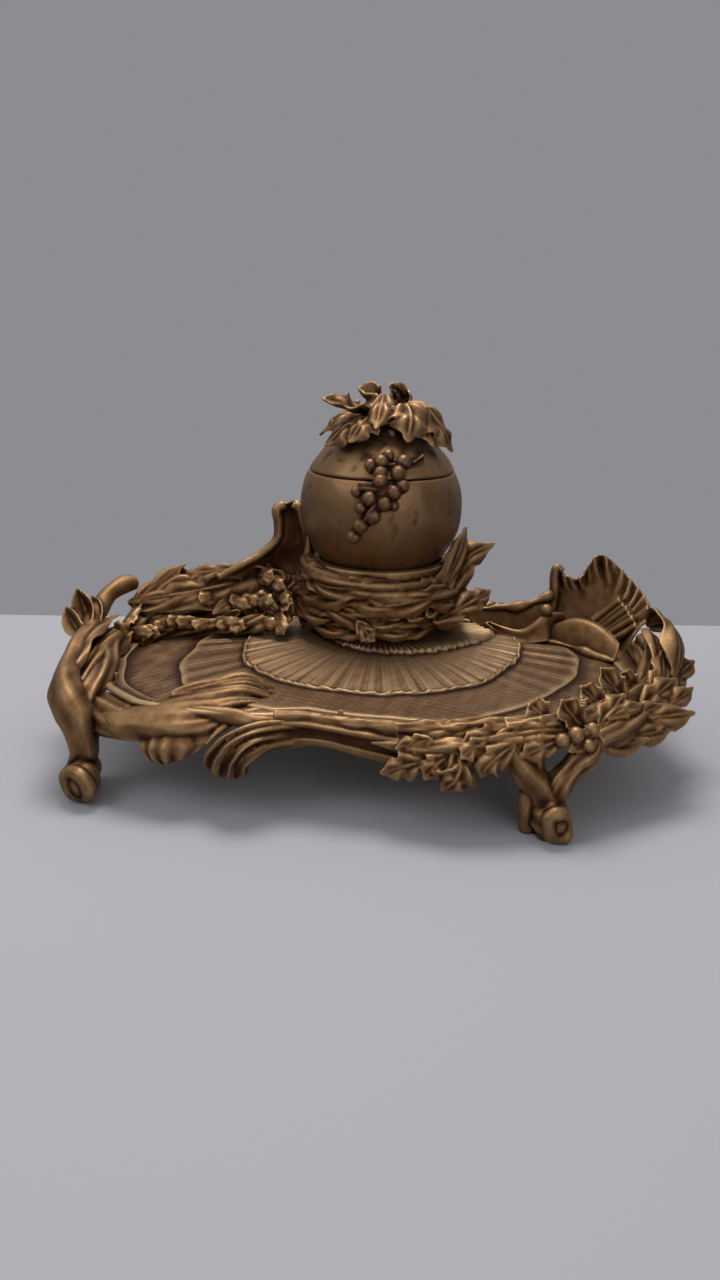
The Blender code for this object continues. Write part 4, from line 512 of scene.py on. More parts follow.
# The tray
def tray():
    count = 720
    angles = np.arange(count) * 360 / count
    turn = np.radians(angles)

    def table(rows):
        return np.array([around(rows, a) for a in angles])

    def waves(number, seed, warp=0.6):
        rng = np.random.default_rng(seed)
        bend = sum(rng.uniform(0.3, 1) * np.sin(k * turn + rng.uniform(0, math.tau)) for k in (3, 5, 8, 13))
        return np.cos(number * turn + warp * bend)

    def jitter(seed, low=9, high=61):
        rng = np.random.default_rng(seed)
        return sum(rng.normal() * np.sin(k * turn + rng.uniform(0, math.tau))
                   for k in range(low, high, 4)) / 3

    step, lip = RELIEF_STEP / REACH, LIP_WIDTH / REACH
    rim = table(RIM)
    field = np.minimum(table(FIELD) * rim, rim - lip * 1.5)
    outer = np.minimum(table(OUTER), field - step * 2.5)
    tier = np.minimum(table(TIER) + jitter(3) * 0.003, outer - step * 3)
    ruffle = np.minimum(table(RUFFLE) + jitter(4, 20, 90) * 0.004, tier - step * 3)
    hub = np.minimum(HUB_REACH / REACH, ruffle - step * 2)
    top = TRAY_HEIGHT + HUB_RISE
    under_ruffle = top - RUFFLE_DROP
    tier_edge = under_ruffle - TIER_FALL
    under_tier = tier_edge - TIER_DROP
    outer_edge = under_tier + OUTER_RISE
    under_outer = outer_edge - OUTER_DROP
    base = under_outer - TRAY_WALL

    front = np.clip(np.sin(-turn) * 2.2, 0, 1)
    sides = 1 - np.clip(np.sin(-turn) * 2.6 - 1.25, 0, 1)
    flutes = waves(58, 5) * 0.7 + waves(93, 6) * 0.45
    streaks = waves(190, 7, 1.5) * 0.5 + waves(260, 8, 2.0) * 0.5
    broad = waves(46, 9, 0.9)
    crimp = waves(96, 10, 1.2)
    nubs = np.maximum(waves(74, 13, 2.2), 0) ** 2

    rows = []

    def run(r0, r1, h0, h1, number, relief=lambda t: 0, closed=False):
        for t in np.linspace(0, 1, number, endpoint=closed):
            rows.append((r0 + (r1 - r0) * t, h0 + (h1 - h0) * t + relief(t)))

    bore = np.full(count, BORE_REACH / REACH)
    run(bore, hub, top, top, 3)
    run(hub, ruffle, top, top - 0.0006, 12,
        lambda t: crimp * 0.00062 * t + streaks * 0.00012 * t + 0.0004 * t * t)
    rows.append((ruffle + step * 0.2, top - 0.0007 + crimp * 0.0003))
    run(ruffle + step * 0.5, tier - lip * 0.35, under_ruffle - 0.0006, tier_edge - 0.0001, 34,
        lambda t: ((flutes * 0.00030 * t ** 0.9 + streaks * 0.00009) * (0.35 + 0.65 * front)
                   + 0.0004 * math.sin(math.pi * t)))
    run(tier - lip * 0.35, tier, tier_edge - 0.0001, tier_edge + 0.0002, 6,
        lambda t: (flutes * 0.0003 + nubs * 0.0006 * math.sin(math.pi * t)))
    rows.append((tier + step * 0.35, tier_edge - 0.0003 + nubs * 0.0003))
    rows.append((tier + step * 0.6, under_tier + 0.0004))
    run(tier + step * 0.8, outer - step, under_tier, outer_edge, 28,
        lambda t: (broad * 0.00042 + streaks * 0.00010) * sides * math.sin(math.pi * min(1, t * 0.6 + 0.2)))
    rows.append((outer, outer_edge + broad * 0.0002 * sides))
    rows.append((outer + step * 0.4, outer_edge - 0.0002))
    run(outer + step * 0.7, field, under_outer, under_outer - 0.0004, 12,
        lambda t: streaks * 0.00005 + broad * 0.00010 * (1 - t) * sides)
    rows.append((field + step * 0.4, under_outer - 0.0008))
    rows.append((field + step * 0.9, under_outer + 0.0005))
    run(field + step * 1.2, rim - lip, under_outer + 0.0006, under_outer + 0.0011, 6)
    for t in np.linspace(0, 1, 8):
        a = math.pi * (0.75 - t * 1.25)
        rows.append((rim - lip / 2 + lip / 2 * math.cos(a), under_outer + 0.0009 + 0.0012 * math.sin(a)))
    run(rim - lip * 0.8, tier, base + 0.0006, base, 6)
    run(tier, hub, base, top - TRAY_WALL, 5)
    rows.append((bore, np.full(count, top - TRAY_WALL)))
    points = np.array([np.stack([POT_X + np.cos(turn) * r * REACH, POT_Y + np.sin(turn) * r * REACH,
                                 h + turn * 0], -1) for r, h in rows])
    grid = np.arange(points.shape[0] * count).reshape(points.shape[0], count)
    item = mesh_of("shell_tray_relief", [(points.reshape(-1, 3), strips(grid, np.roll(grid, -1, 0)))])
    welded(item)
    worn_and_shaded(item, grain=0.00005, step=0.009, depth=0.0005, rounds=10)
    # Painted light and shade: the fan inside the tier is painted lighter and the tray outside it painted
    # darker, added to the proudness kept above
    place = points_of(item.data) - (POT_X, POT_Y, 0)
    turns = np.degrees(np.arctan2(place[:, 1], place[:, 0])) % 360
    reach = np.hypot(place[:, 0], place[:, 1]) / REACH
    inside = np.clip((np.interp(turns, angles, tier, period=360) - reach) * 60 + 0.5, 0, 1)
    wear_and_painted_light = np.empty(len(reach), np.float32)
    item.data.attributes["wear_and_painted_light"].data.foreach_get("value", wear_and_painted_light)
    mark_wear_and_painted_light(item.data, wear_and_painted_light + FAN_PAINTED_LIGHT * inside - FIELD_PAINTED_SHADE * (1 - inside))
    dressed(item, TRAY_LOOK, "base", "shell_tray")


def leaves(table, where=spot, width=LEAF_WIDTH, **more):
    """Leaves from rows of places, each ending with width share, azimuth, lean, cup and extra lobes."""
    parts = []
    for row in table.strip().split("\n"):
        *places, (share, azimuth, lean, cup, lobes) = numbers(row)
        parts.append(leaf([where(place) for place in places], share * width, heading(azimuth, lean),
                          lobes + 1, cup, **more))
    return parts


def stem(table, radius, **more):
    """Stem through places that each end with a share of the radius."""
    rows = numbers(table)
    return tube([spot(row[:3]) for row in rows], [row[3] * radius for row in rows], **more)


def knot(place, way, radius):
    """Healed branch end: an uneven upright oval lip round a hollow heart."""
    centre = spot(place)
    way = unit(np.array(way, float))
    side = unit(np.cross(way, (0, 0, 1.0)))
    other = np.cross(side, way)
    turns = np.arange(13) * math.tau / 12
    swell = 1 + 0.10 * np.sin(turns * 2 + 0.7) + 0.06 * np.sin(turns * 3)
    ring = [centre + (side * math.cos(a) * 0.66 + other * math.sin(a) * 0.90) * radius * w
            for a, w in zip(turns, swell)]
    inner = [centre - way * radius * 0.10 + (side * math.cos(a) * 0.28 + other * math.sin(a) * 0.46) * radius
             for a in turns]
    return [tube(ring, [radius * 0.36] * 2, sides=16, count=80, gnarl=0.30),
            tube(inner, [radius * 0.17] * 2, sides=12, count=60, gnarl=0.40),
            bead(centre - way * radius * 0.22, radius * 0.34),
            bead(centre - way * radius * 0.55, radius * 0.95, (1, 1, 1.15))]


def crowd(line, number, length, width, seed, lift=0.5):
    """Small curled leaves crowded along a line of places."""
    rng = np.random.default_rng(seed)
    run = eased(spots(line), number)
    along = unit(np.gradient(run, axis=0))
    up = np.array((0, 0, 1.0))
    parts = []
    for root, ahead in zip(run, along):
        out = unit((root - (POT_X, POT_Y, root[2])) * (1, 1, 0))
        sway, size = rng.choice((-1, 1)) * rng.uniform(0.5, 1.2), length * rng.uniform(0.85, 1.2)
        way = unit((0, -0.5, 0) + ahead * sway + up * lift * rng.uniform(-0.6, 1.0))
        bend = unit(out * 0.5 + (0, -0.8, 0.5))
        path = [root - way * size * 0.30, root + way * size * 0.15 + bend * size * 0.16,
                root + way * size * 0.60 + bend * size * 0.18, root + way * size * 0.85 + bend * size * 0.02]
        parts.append(leaf(path, width * rng.uniform(0.8, 1.2), bend, 2, -0.45, notch=0.16, vein=0.035,
                          ruffle=0.06, size=(40, 17)))
    return parts


def left_leg():
    def flames(u, v):
        return 0.0004 * np.cos(math.tau * (v * 3.6 - u * 0.4)) + u * 0

    parts = [
        stem("219 1.09 -.03 1, 219.5 1.095 .16 1.1, 220.5 1.1 .36 .98, 221.3 1.105 .54 .94, "
             "220.3 1.105 .8 1.26, 216.8 1.11 1.01 1.2, 212.5 1.105 1.13 .86, 208.5 1.09 1.2 .75, "
             "204.5 1.07 1.28 .7, 200 1.05 1.33 .6, 195 1.03 1.35 .5", BRANCH_RADIUS, sides=48, count=140,
             groove=0.07, grooves=4, twist=1.1, gnarl=0.035),
        stem("219.5 1.08 .25 .9, 221.5 1.11 .24 1.15, 223.3 1.148 .23 1.22, 224.2 1.165 .225 .95",
             BRANCH_RADIUS, sides=40, count=50, groove=0.05, grooves=5, gnarl=0.07),
        stem("219.8 1.1 .78 .7, 218.6 1.07 .95 .74, 215.5 1.01 1.07 .74, 210 .98 1.1 .72, "
             "203 .97 1.12 .65, 195 .97 1.16 .55", BRANCH_RADIUS, sides=28, groove=0.12, grooves=5, twist=2,
             gnarl=0.04),
        stem("200 1.05 1.28 .8, 194 1.06 1.42 .74, 188 1.05 1.56 .68, 184 1.025 1.65 .66, "
             "182 1 1.66 .56", BRANCH_RADIUS, sides=28, gnarl=0.05),
        sheet("""
            217.6 1 1, 219.6 1.05 .98, 221 1.08 .84, 221.8 1.08 .64
            221 .985 .99, 223.2 1.04 .98, 224.4 1.08 .85, 225.2 1.075 .68
            225.2 .975 .99, 226.8 1.03 .98, 228 1.075 .87, 229.2 1.07 .71""",
              0.003, relief=flames, size=(40, 60)),
    ]
    parts += knot((224.4, 1.160, 0.225), (-0.42, -0.90, -0.10), BRANCH_RADIUS * 1.14)
    petal = dict(notch=0.05, vein=0.012, ruffle=0.05, sweep=0.1, base=0.5)
    parts += leaves("""
        199 1.06 1.32, 194.5 1.09 1.48, 191.8 1.135 1.74, .95 250 60 .55 0
        200 1.07 1.3, 196.5 1.12 1.38, 193.5 1.165 1.54, .75 240 55 .5 0
        199 1.04 1.3, 194 1.06 1.46, 190.5 1.09 1.62, .7 265 65 .5 0""", **petal)
    parts += leaves("""
        214 1.1 1.15, 208 1.07 1.31, 200 1.03 1.4, 193 .985 1.4, .95 255 50 -.4 1
        214 1.07 1.06, 206 1.03 1.22, 198 .985 1.28, 192 .955 1.27, 1 262 45 -.4 1
        216 1.05 1, 208 1.01 1.1, 199 .96 1.15, 192 .94 1.16, .95 268 45 -.4 1
        220.5 1.115 .62, 219.5 1.13 .88, 215.5 1.13 1.08, 210 1.11 1.2, .85 245 70 -.4 0
        222 1.07 .6, 220.6 1.08 .84, 217 1.06 1.04, .8 262 75 -.4 0""", notch=0.28, vein=0.04)
    return fused("left_leg_bark", parts)


def left_scroll():
    def crest_relief(u, v):
        return 0.0006 * np.cos(math.tau * (v * 2.2 + u * 0.8)) + 0.0003 * np.cos(math.tau * (u * 3.0 + v * 4))

    def volute_relief(u, v):
        hollow = -0.0022 * np.sin(math.pi * np.clip(v * 1.25, 0, 1)) ** 2
        return hollow + 0.0009 * np.exp(-((v - 0.82) / 0.10) ** 2)

    parts = [
        stem("198 .98 1.08 .9, 190 .97 1.1 1, 183 .96 1.14 1.1, 176 .92 1.16 1.2, 172 .8 1.2 1.4, "
             "169 .66 1.3 1.6, 166 .6 1.36 1.4", RAIL_RADIUS, sides=28, count=90, groove=0.1, twist=3,
             gnarl=0.06),
        stem("193 .92 1.06 .7, 187 .84 1.08 .8, 187 .7 1.1 .8, 190 .55 1.14 .9, 194 .44 1.2 1.2",
             RAIL_RADIUS, sides=28, count=90, groove=0.14, twist=4, gnarl=0.08),
        sheet("""
            183.5 1.02 1.4, 184 1 1.34, 184.5 .98 1.28
            180 .96 1.54, 183 .93 1.45, 185 .9 1.28
            177.5 .87 1.8, 181 .85 1.6, 185 .82 1.3
            178 .79 1.72, 181 .76 1.62, 186 .73 1.34
            178.5 .7 1.78, 181 .67 1.66, 187 .64 1.34
            181 .6 1.9, 182 .57 1.74, 188 .54 1.4
            181 .52 1.9, 181 .49 1.74, 189 .48 1.36
            177 .42 1.8, 180 .4 1.66, 190 .42 1.3""", 0.003, relief=crest_relief, size=(110, 40)),
        sheet("""
            185 .6 1.74, 176 .44 1.56, 170 .335 1.56
            184 .555 1.9, 174 .42 1.76, 170 .335 1.86
            180 .49 2.02, 171.5 .41 1.95, 171 .345 2.02
            176.5 .45 2.2, 170 .395 2.16, 171 .355 2.2
            175 .457 2.4, 169.5 .4 2.38, 171 .367 2.4
            174.5 .468 2.56, 170.5 .425 2.58, 171 .385 2.56
            174 .455 2.64, 172 .43 2.66, 171.5 .4 2.63""", 0.003, relief=volute_relief, size=(80, 40)),
        stem("186 .64 1.76 .36, 184.2 .56 1.9 .4, 180 .495 2.02 .42, 176.5 .455 2.2 .46, "
             "175 .46 2.4 .52, 174.6 .47 2.58 .58, 173 .45 2.65 .5", RAIL_RADIUS, count=80),
        stem("171 .335 1.6 .5, 171.5 .34 1.9 .5, 171.5 .35 2.14 .5, 171.5 .37 2.4 .45, "
             "171.5 .39 2.58 .4, 172 .42 2.65 .35", RAIL_RADIUS, count=80, gnarl=0.12),
        stem("180 .33 1.5 .7, 176 .325 1.84 .55, 174.5 .33 2.1 .4, 174 .335 2.32 .25", RAIL_RADIUS,
             gnarl=0.2),
    ]
    parts += leaves("""
        178 .4 1.72, 181.5 .5 1.72, 183 .6 1.66, 183 .74 1.56, 183 .88 1.48, 184 1.01 1.42, 1.55 262 62 -.35 4
        182 .56 1.84, 180.5 .68 1.8, 179 .78 1.74, 178.5 .86 1.64, .9 260 50 -.3 2
        184 .99 1.42, 180.5 .92 1.62, 177.5 .84 1.86, .85 262 70 -.3 1
        176 .4 1.72, 182 .5 1.6, 186 .6 1.44, 187 .66 1.28, 1.1 258 65 -.5 2
        172 .35 1.7, 178 .38 1.48, 181 .43 1.2, 183 .45 1.04, 1.15 262 70 -.5 2
        175 .37 1.7, 179.5 .45 1.54, 182 .52 1.34, 183 .54 1.12, 1.1 262 70 -.5 2
        178 .34 1.56, 192 .36 1.42, 202 .385 1.2, 1.1 255 60 -.5 2
        184 .84 1.26, 185.5 .92 1.14, 186.5 1.01 1.1, .65 262 50 -.3 1
        183 .68 1.16, 185 .77 1.1, 186 .87 1.06, .6 262 50 -.3 1
        180 .58 1.26, 182 .64 1.16, 184 .7 1.06, .65 262 60 -.3 1""", notch=0.36, vein=0.035)
    parts += crowd("191 .95 1.1, 187 .86 1.14, 187 .76 1.16, 188 .66 1.18, 190 .56 1.2, 194 .46 1.22", 13,
                   0.0125, 0.0072, 31, 0.35)
    parts += crowd("183 .66 1.44, 184 .56 1.46, 186 .48 1.46, 190 .42 1.4, 198 .385 1.3", 9, 0.0135, 0.0085,
                   37, 0.45)
    parts += crowd("180 .5 1.74, 181 .44 1.66, 184 .4 1.56, 190 .37 1.46", 5, 0.013, 0.009, 41)
    parts += crowd("196 .96 1.14, 190 .97 1.2, 187 .96 1.28", 4, 0.0125, 0.0075, 43)
    return fused("left_scroll_leafage", parts)


def cartouche():
    def flames(u, v):
        fade = np.clip(u * 1.8 - 0.6, 0, 1)
        fine = 0.0004 * np.cos(math.tau * (v * 8 - u * 2.6))
        return fade * (0.0008 * np.cos(math.tau * (v * 3.6 - u * 1.4)) + fine)

    def ribs(u, v):
        return 0.0006 * np.cos(math.tau * (v * 4.0 - u * 0.5)) * np.clip(u * 1.6, 0, 1)

    def bands(u, v):
        fade = np.clip(u * 2.2 - 0.15, 0.0, 1) * np.clip((1 - u) * 5, 0.25, 1)
        return fade * (0.0012 * np.cos(math.tau * (v * 3.5 + 0.1)) + 0.0003 * np.cos(math.tau * (v * 10 + u)))

    parts = [
        sheet("""
            222 1.03 .94, 223 1.06 .92, 224 1.08 .83, 224.6 1.075 .68
            225 .99 .98, 226.3 1.05 .97, 227.4 1.08 .87, 228.3 1.075 .71
            227 .95 1.02, 229 1.02 1.02, 230.4 1.07 .92, 231.7 1.07 .72
            230.2 .9 1.08, 232.4 .98 1.08, 234 1.06 .94, 235 1.07 .72
            232.1 .86 1.12, 234.8 .94 1.12, 236.8 1.04 .96, 237.9 1.06 .73
            235.1 .82 1.15, 237.4 .9 1.15, 239.4 1 1, 240.6 1.05 .79
            238.5 .79 1.18, 239.8 .86 1.16, 241 .95 1.04, 241.8 1.01 .86
            241.2 .77 1.14, 242 .83 1.12, 242.8 .89 1.04, 243.5 .94 .94
            243.6 .77 1.03, 244.8 .8 1.02, 245.8 .83 .96, 246.8 .86 .9""",
              0.003, relief=flames, size=(110, 60)),
        sheet("""
            231.3 1.06 .8, 234 1.06 .86, 237 1.05 .86, 241 1.035 .82
            231.6 1.08 .68, 234 1.09 .72, 237 1.085 .74, 240.4 1.05 .74
            232.4 1.08 .56, 234 1.09 .6, 236.6 1.085 .61, 239.4 1.06 .66
            233.4 1.065 .51, 234.4 1.07 .5, 236 1.07 .53, 238 1.055 .59""",
              0.0028, relief=ribs, size=(50, 50)),
        sheet("""
            257 .995 .98, 257.2 .995 .93, 257.2 .99 .86, 257.7 .995 .8, 258.4 .995 .75
            252.3 1.02 1.01, 252.7 1.03 .95, 253 1.02 .87, 253.9 1.03 .8, 255.1 1.025 .71
            248.8 1.04 1.01, 249.5 1.055 .95, 250.4 1.055 .88, 251.5 1.05 .8, 252.8 1.03 .69
            246.2 1.06 .97, 247.6 1.08 .93, 249 1.085 .88, 250.1 1.07 .8, 251.1 1.035 .68
            243.9 1.07 .88, 246 1.095 .86, 247.7 1.1 .83, 249 1.085 .76, 249.8 1.04 .64
            242.2 1.07 .76, 244.8 1.1 .76, 246.7 1.105 .74, 247.9 1.09 .69, 248.7 1.04 .59
            241 1.06 .64, 243.3 1.085 .61, 245.5 1.09 .61, 246.9 1.08 .59, 247.6 1.04 .53
            240.4 1.04 .5, 242.2 1.055 .43, 244.5 1.065 .42, 246.1 1.05 .42, 246.7 1.02 .43
            241.2 1.01 .42, 242.8 1.02 .38, 244.6 1.03 .37, 245.8 1.02 .38, 246.2 1 .4""",
              0.0036, relief=bands, size=(130, 90)),
        stem("246.8 .86 .9 .3, 246.2 .89 .97 .38, 243.6 .945 .97 .4, 241.9 1.01 .88 .3, "
             "240.8 1.05 .76 .12", RAIL_RADIUS, count=70),
        stem("243.8 .77 1.02 .34, 241.2 .845 1.07 .38, 239.2 .92 1.04 .36, 238 .98 .96 .3", RAIL_RADIUS,
             count=60),
        stem("233 .97 1 .6, 238 .97 1 .7, 243 .98 .99 .74, 247.5 .995 .97 .66, 253 .985 .97 .5",
             RAIL_RADIUS, count=60, groove=0.06, grooves=3, twist=1),
    ]
    parts += leaves("""
        230 .93 1.1, 234.5 .87 1.18, 239 .8 1.21, 243.6 .76 1.08, .85 250 35 -.3 1""", notch=0.2, vein=0.03)
    return fused("front_left_scrollwork", parts)


MOULDING = [
    (0.00, -0.40), (0.00, 0.30), (0.12, 0.52), (0.34, 0.48), (0.42, 0.16), (0.56, 0.08), (0.72, 0.14),
    (0.90, 0.42), (1.04, 0.34), (1.02, -0.45),
]


def moulding():
    low = ("250 1 .68, 252.5 1.005 .7, 256 1.005 .73, 260 1.005 .745, 264 1.005 .71, 268 1.005 .66, "
           "273 1.005 .6")
    high = ("250 1.005 .98, 252.5 1.01 .985, 256 1.01 .98, 260 1.01 .975, 264 1.01 .96, 268 1.01 .94, "
            "273 1.01 .905")
    feet, heads = eased(spots(low), 90), eased(spots(high), 90)
    section = eased(MOULDING + MOULDING[:1], 61)[:-1]
    out = heading(262, 90)
    rings = (feet[:, None] + (heads - feet)[:, None] * section[None, :, :1]
             + out * (MOULDING_DEPTH * section[None, :, 1:]))
    parts = [lofted(rings, rings[:1].mean(1), rings[-1:].mean(1)),
             stem("250 .99 1.02 .55, 256 .99 1.01 .6, 262 .99 1 .62, 268 .99 1 .6, 273 .99 .99 .55",
                  RAIL_RADIUS, count=160, groove=0.06, twist=1, gnarl=0.12)]
    return fused("front_moulding_run", parts, FINE_VOXEL)


def front_spray():
    parts = [
        stem("268 1.02 .86 .1, 277 1.04 .86 .62, 284 1.035 .9 .66, 292 1.02 .95 .65", BRANCH_RADIUS,
             groove=0.1, twist=2, gnarl=0.08),
        stem("268 .985 1 .25, 277 .985 1.01 .75, 284 .98 1.02 1, 292 .98 1.04 1", RAIL_RADIUS, groove=0.1,
             twist=2, gnarl=0.08),
    ]
    parts += leaves("""
        279 1.05 .84, 275.6 1.08 .77, 272.6 1.09 .7, 269.6 1.085 .62, 1.05 268 70 -.35 2
        281.5 1.05 .92, 281.7 1.09 .78, 280.6 1.11 .64, 279 1.09 .5, 1.5 278 78 -.6 2
        280 1.06 .84, 278 1.09 .76, 276.3 1.1 .62, 1 272 72 -.4 1
        290.3 1.05 .96, 287.5 1.08 .88, 285.4 1.095 .78, 284.8 1.08 .64, 1.05 278 65 -.45 1
        290.5 1.02 1.02, 286 1.04 1.02, 282 1.05 .96, 1 282 45 -.3 1
        287 1.04 .98, 283.6 1.07 .94, 281.5 1.09 .86, .8 278 60 -.4 1
        278 1.04 .98, 275 1.055 .93, 272 1.06 .86, .75 272 60 -.35 1
        285 1 1.05, 280 1.01 1.06, 275.5 1.01 1.03, .75 280 40 -.3 1""", notch=0.34, vein=0.045)
    return fused("front_spray_leaves", parts, FINE_VOXEL)


def right_leg():
    parts = [
        stem("295.2 1.08 -.03 .95, 295.2 1.08 .18 1.1, 294.6 1.065 .38 .98, 293.8 1.06 .5 .92, "
             "292.3 1.05 .65 .9, 290.7 1.035 .82 .8, 289 1 1.02 .66", BRANCH_RADIUS, sides=40, count=90,
             groove=0.08, grooves=4, twist=0.9, gnarl=0.05),
        stem("295.6 1.03 .26 .85, 295.1 1.07 .23 1.16, 294.7 1.105 .21 1.26, 294.6 1.13 .205 1.02",
             BRANCH_RADIUS, sides=40, count=50, groove=0.05, grooves=7, gnarl=0.05),
        stem("295.8 1.07 .42 .8, 296.8 1.07 .58 .78, 298.8 1.065 .72 .86, 301.8 1.06 .82 .84, "
             "305 1 .99 .3", BRANCH_RADIUS, groove=0.1, twist=1, gnarl=0.06),
        stem("294.6 1.05 .44 .5, 293.8 1.05 .62 .5, 294 1.04 .8 .5, 295 1.02 .96 .5", BRANCH_RADIUS,
             groove=0.08, twist=1, gnarl=0.05),
        stem("292.6 1.05 -.03 .5, 292.7 1.055 .14 .66, 292.6 1.055 .3 .72, 292.8 1.055 .5 .6",
             BRANCH_RADIUS, gnarl=0.12),
        stem("290 .99 1.03 1, 297 .99 1.05 1, 306 .99 1.04 1", RAIL_RADIUS, groove=0.1, twist=2),
    ]
    parts += knot((294.6, 1.136, 0.204), (0.05, -1, -0.10), BRANCH_RADIUS * 1.06)
    parts += leaves("""
        299 1.02 1.04, 294.5 1.035 1.08, 289.5 1.03 1.02, 1.15 285 45 -.35 1
        298 .99 1.04, 296.5 .955 1.16, 295.5 .93 1.22, 1 290 45 .3 1
        302 1.03 1.02, 300 1.01 1.18, 299 .985 1.32, 1.05 280 60 .3 1
        305 1.03 .98, 301.5 1.07 1, 297 1.08 .9, 1.05 288 55 -.35 1
        297 1.05 1, 293.5 1.07 .94, 290.5 1.07 .84, .9 285 60 -.35 1
        304.5 1.05 .92, 301.5 1.08 .86, 298.6 1.085 .74, .85 288 65 -.4 1
        303.5 1 1.04, 303 .97 1.14, 302 .94 1.2, .85 290 50 .3 1""", notch=0.30, vein=0.045)
    buds = ("299 1.055 1.02 .0032 1.15, 302 1.055 1.03 .003 1.2, 296.6 1.065 1 .0028 1, "
            "300.4 1.075 .92 .0027 1")
    for *place, radius, stretch in numbers(buds):
        parts.append(bead(spot(place), radius, (1, 1, stretch)))
    return fused("right_leg_bark", parts, FINE_VOXEL)


def right_branch():
    parts = [
        stem("303 1.05 .88 .8, 308 1.06 .9 .8, 314 1.06 .94 .75, 320 1.05 1 .8, 328 1.04 1.08 .85, "
             "337 1.02 1.14 .8, 346 1 1.2 .7", BRANCH_RADIUS, sides=26, count=110, groove=0.08, twist=2,
             gnarl=0.05),
        stem("303 .985 1.03 1, 314 .985 1.04 1, 325 .985 1.06 1, 335 .985 1.06 1, 346 .985 1.08 1",
             RAIL_RADIUS, count=110, groove=0.08, twist=3, gnarl=0.05),
    ]
    parts += leaves("""
        311 1.05 .98, 316 1.11 1, 321.5 1.16 .98, 1.1 300 45 -.3 1
        306 1.06 .92, 311 1.1 .88, 317 1.14 .88, .95 300 50 -.3 1
        303 1.06 .9, 307 1.09 .84, 312 1.12 .84, .8 298 55 -.3 0
        310 1 1.06, 308.5 .955 1.18, 307.5 .92 1.28, 1 292 50 .3 1
        315 1 1.08, 313.8 .965 1.24, 313 .925 1.42, 1.1 292 58 .3 1
        308 1 1.02, 305 .97 1.1, 301.5 .94 1.06, .9 288 35 .3 1
        320 1 1.08, 319 .97 1.2, 318 .945 1.3, .85 300 55 .3 1
        329 1.06 1.12, 332 1.1 1.2, 334 1.13 1.26, .8 320 55 -.2 0
        312 1.01 1.08, 322 .99 1.16, 332 .985 1.22, 342 .985 1.34, .7 318 30 -.5 0
        344 1 1.44, 339 1.05 1.62, 332 1.075 1.44, 326 1.06 1.1, 1.35 325 58 -.6 1
        342 .98 1.38, 336 1 1.46, 329 1.01 1.34, 322 1.01 1.12, .85 318 50 -.5 0
        321 1.02 1.04, 325 1.03 1.22, 331 1.02 1.38, 1.15 312 50 -.35 1
        316 1.04 1.02, 320 1.06 1.15, 325 1.07 1.22, 1.1 305 50 -.35 1
        305 1.03 1, 309 1.025 1.13, 313 1.015 1.21, 1.05 295 45 -.35 1
        310 1.05 .96, 314 1.075 1.04, 318 1.09 1.08, .9 298 50 -.35 1
        318 1.07 .98, 322 1.1 1.06, 326 1.12 1.14, .85 310 50 -.3 1
        307 1.03 1.05, 311 1.05 1.12, 314.5 1.06 1.12, .7 296 40 -.4 1
        325 1.05 1.08, 329 1.08 1.1, 333 1.1 1.1, .75 316 45 -.4 1""", notch=0.32, vein=0.045)
    return fused("right_branch_leaves", parts, FINE_VOXEL)


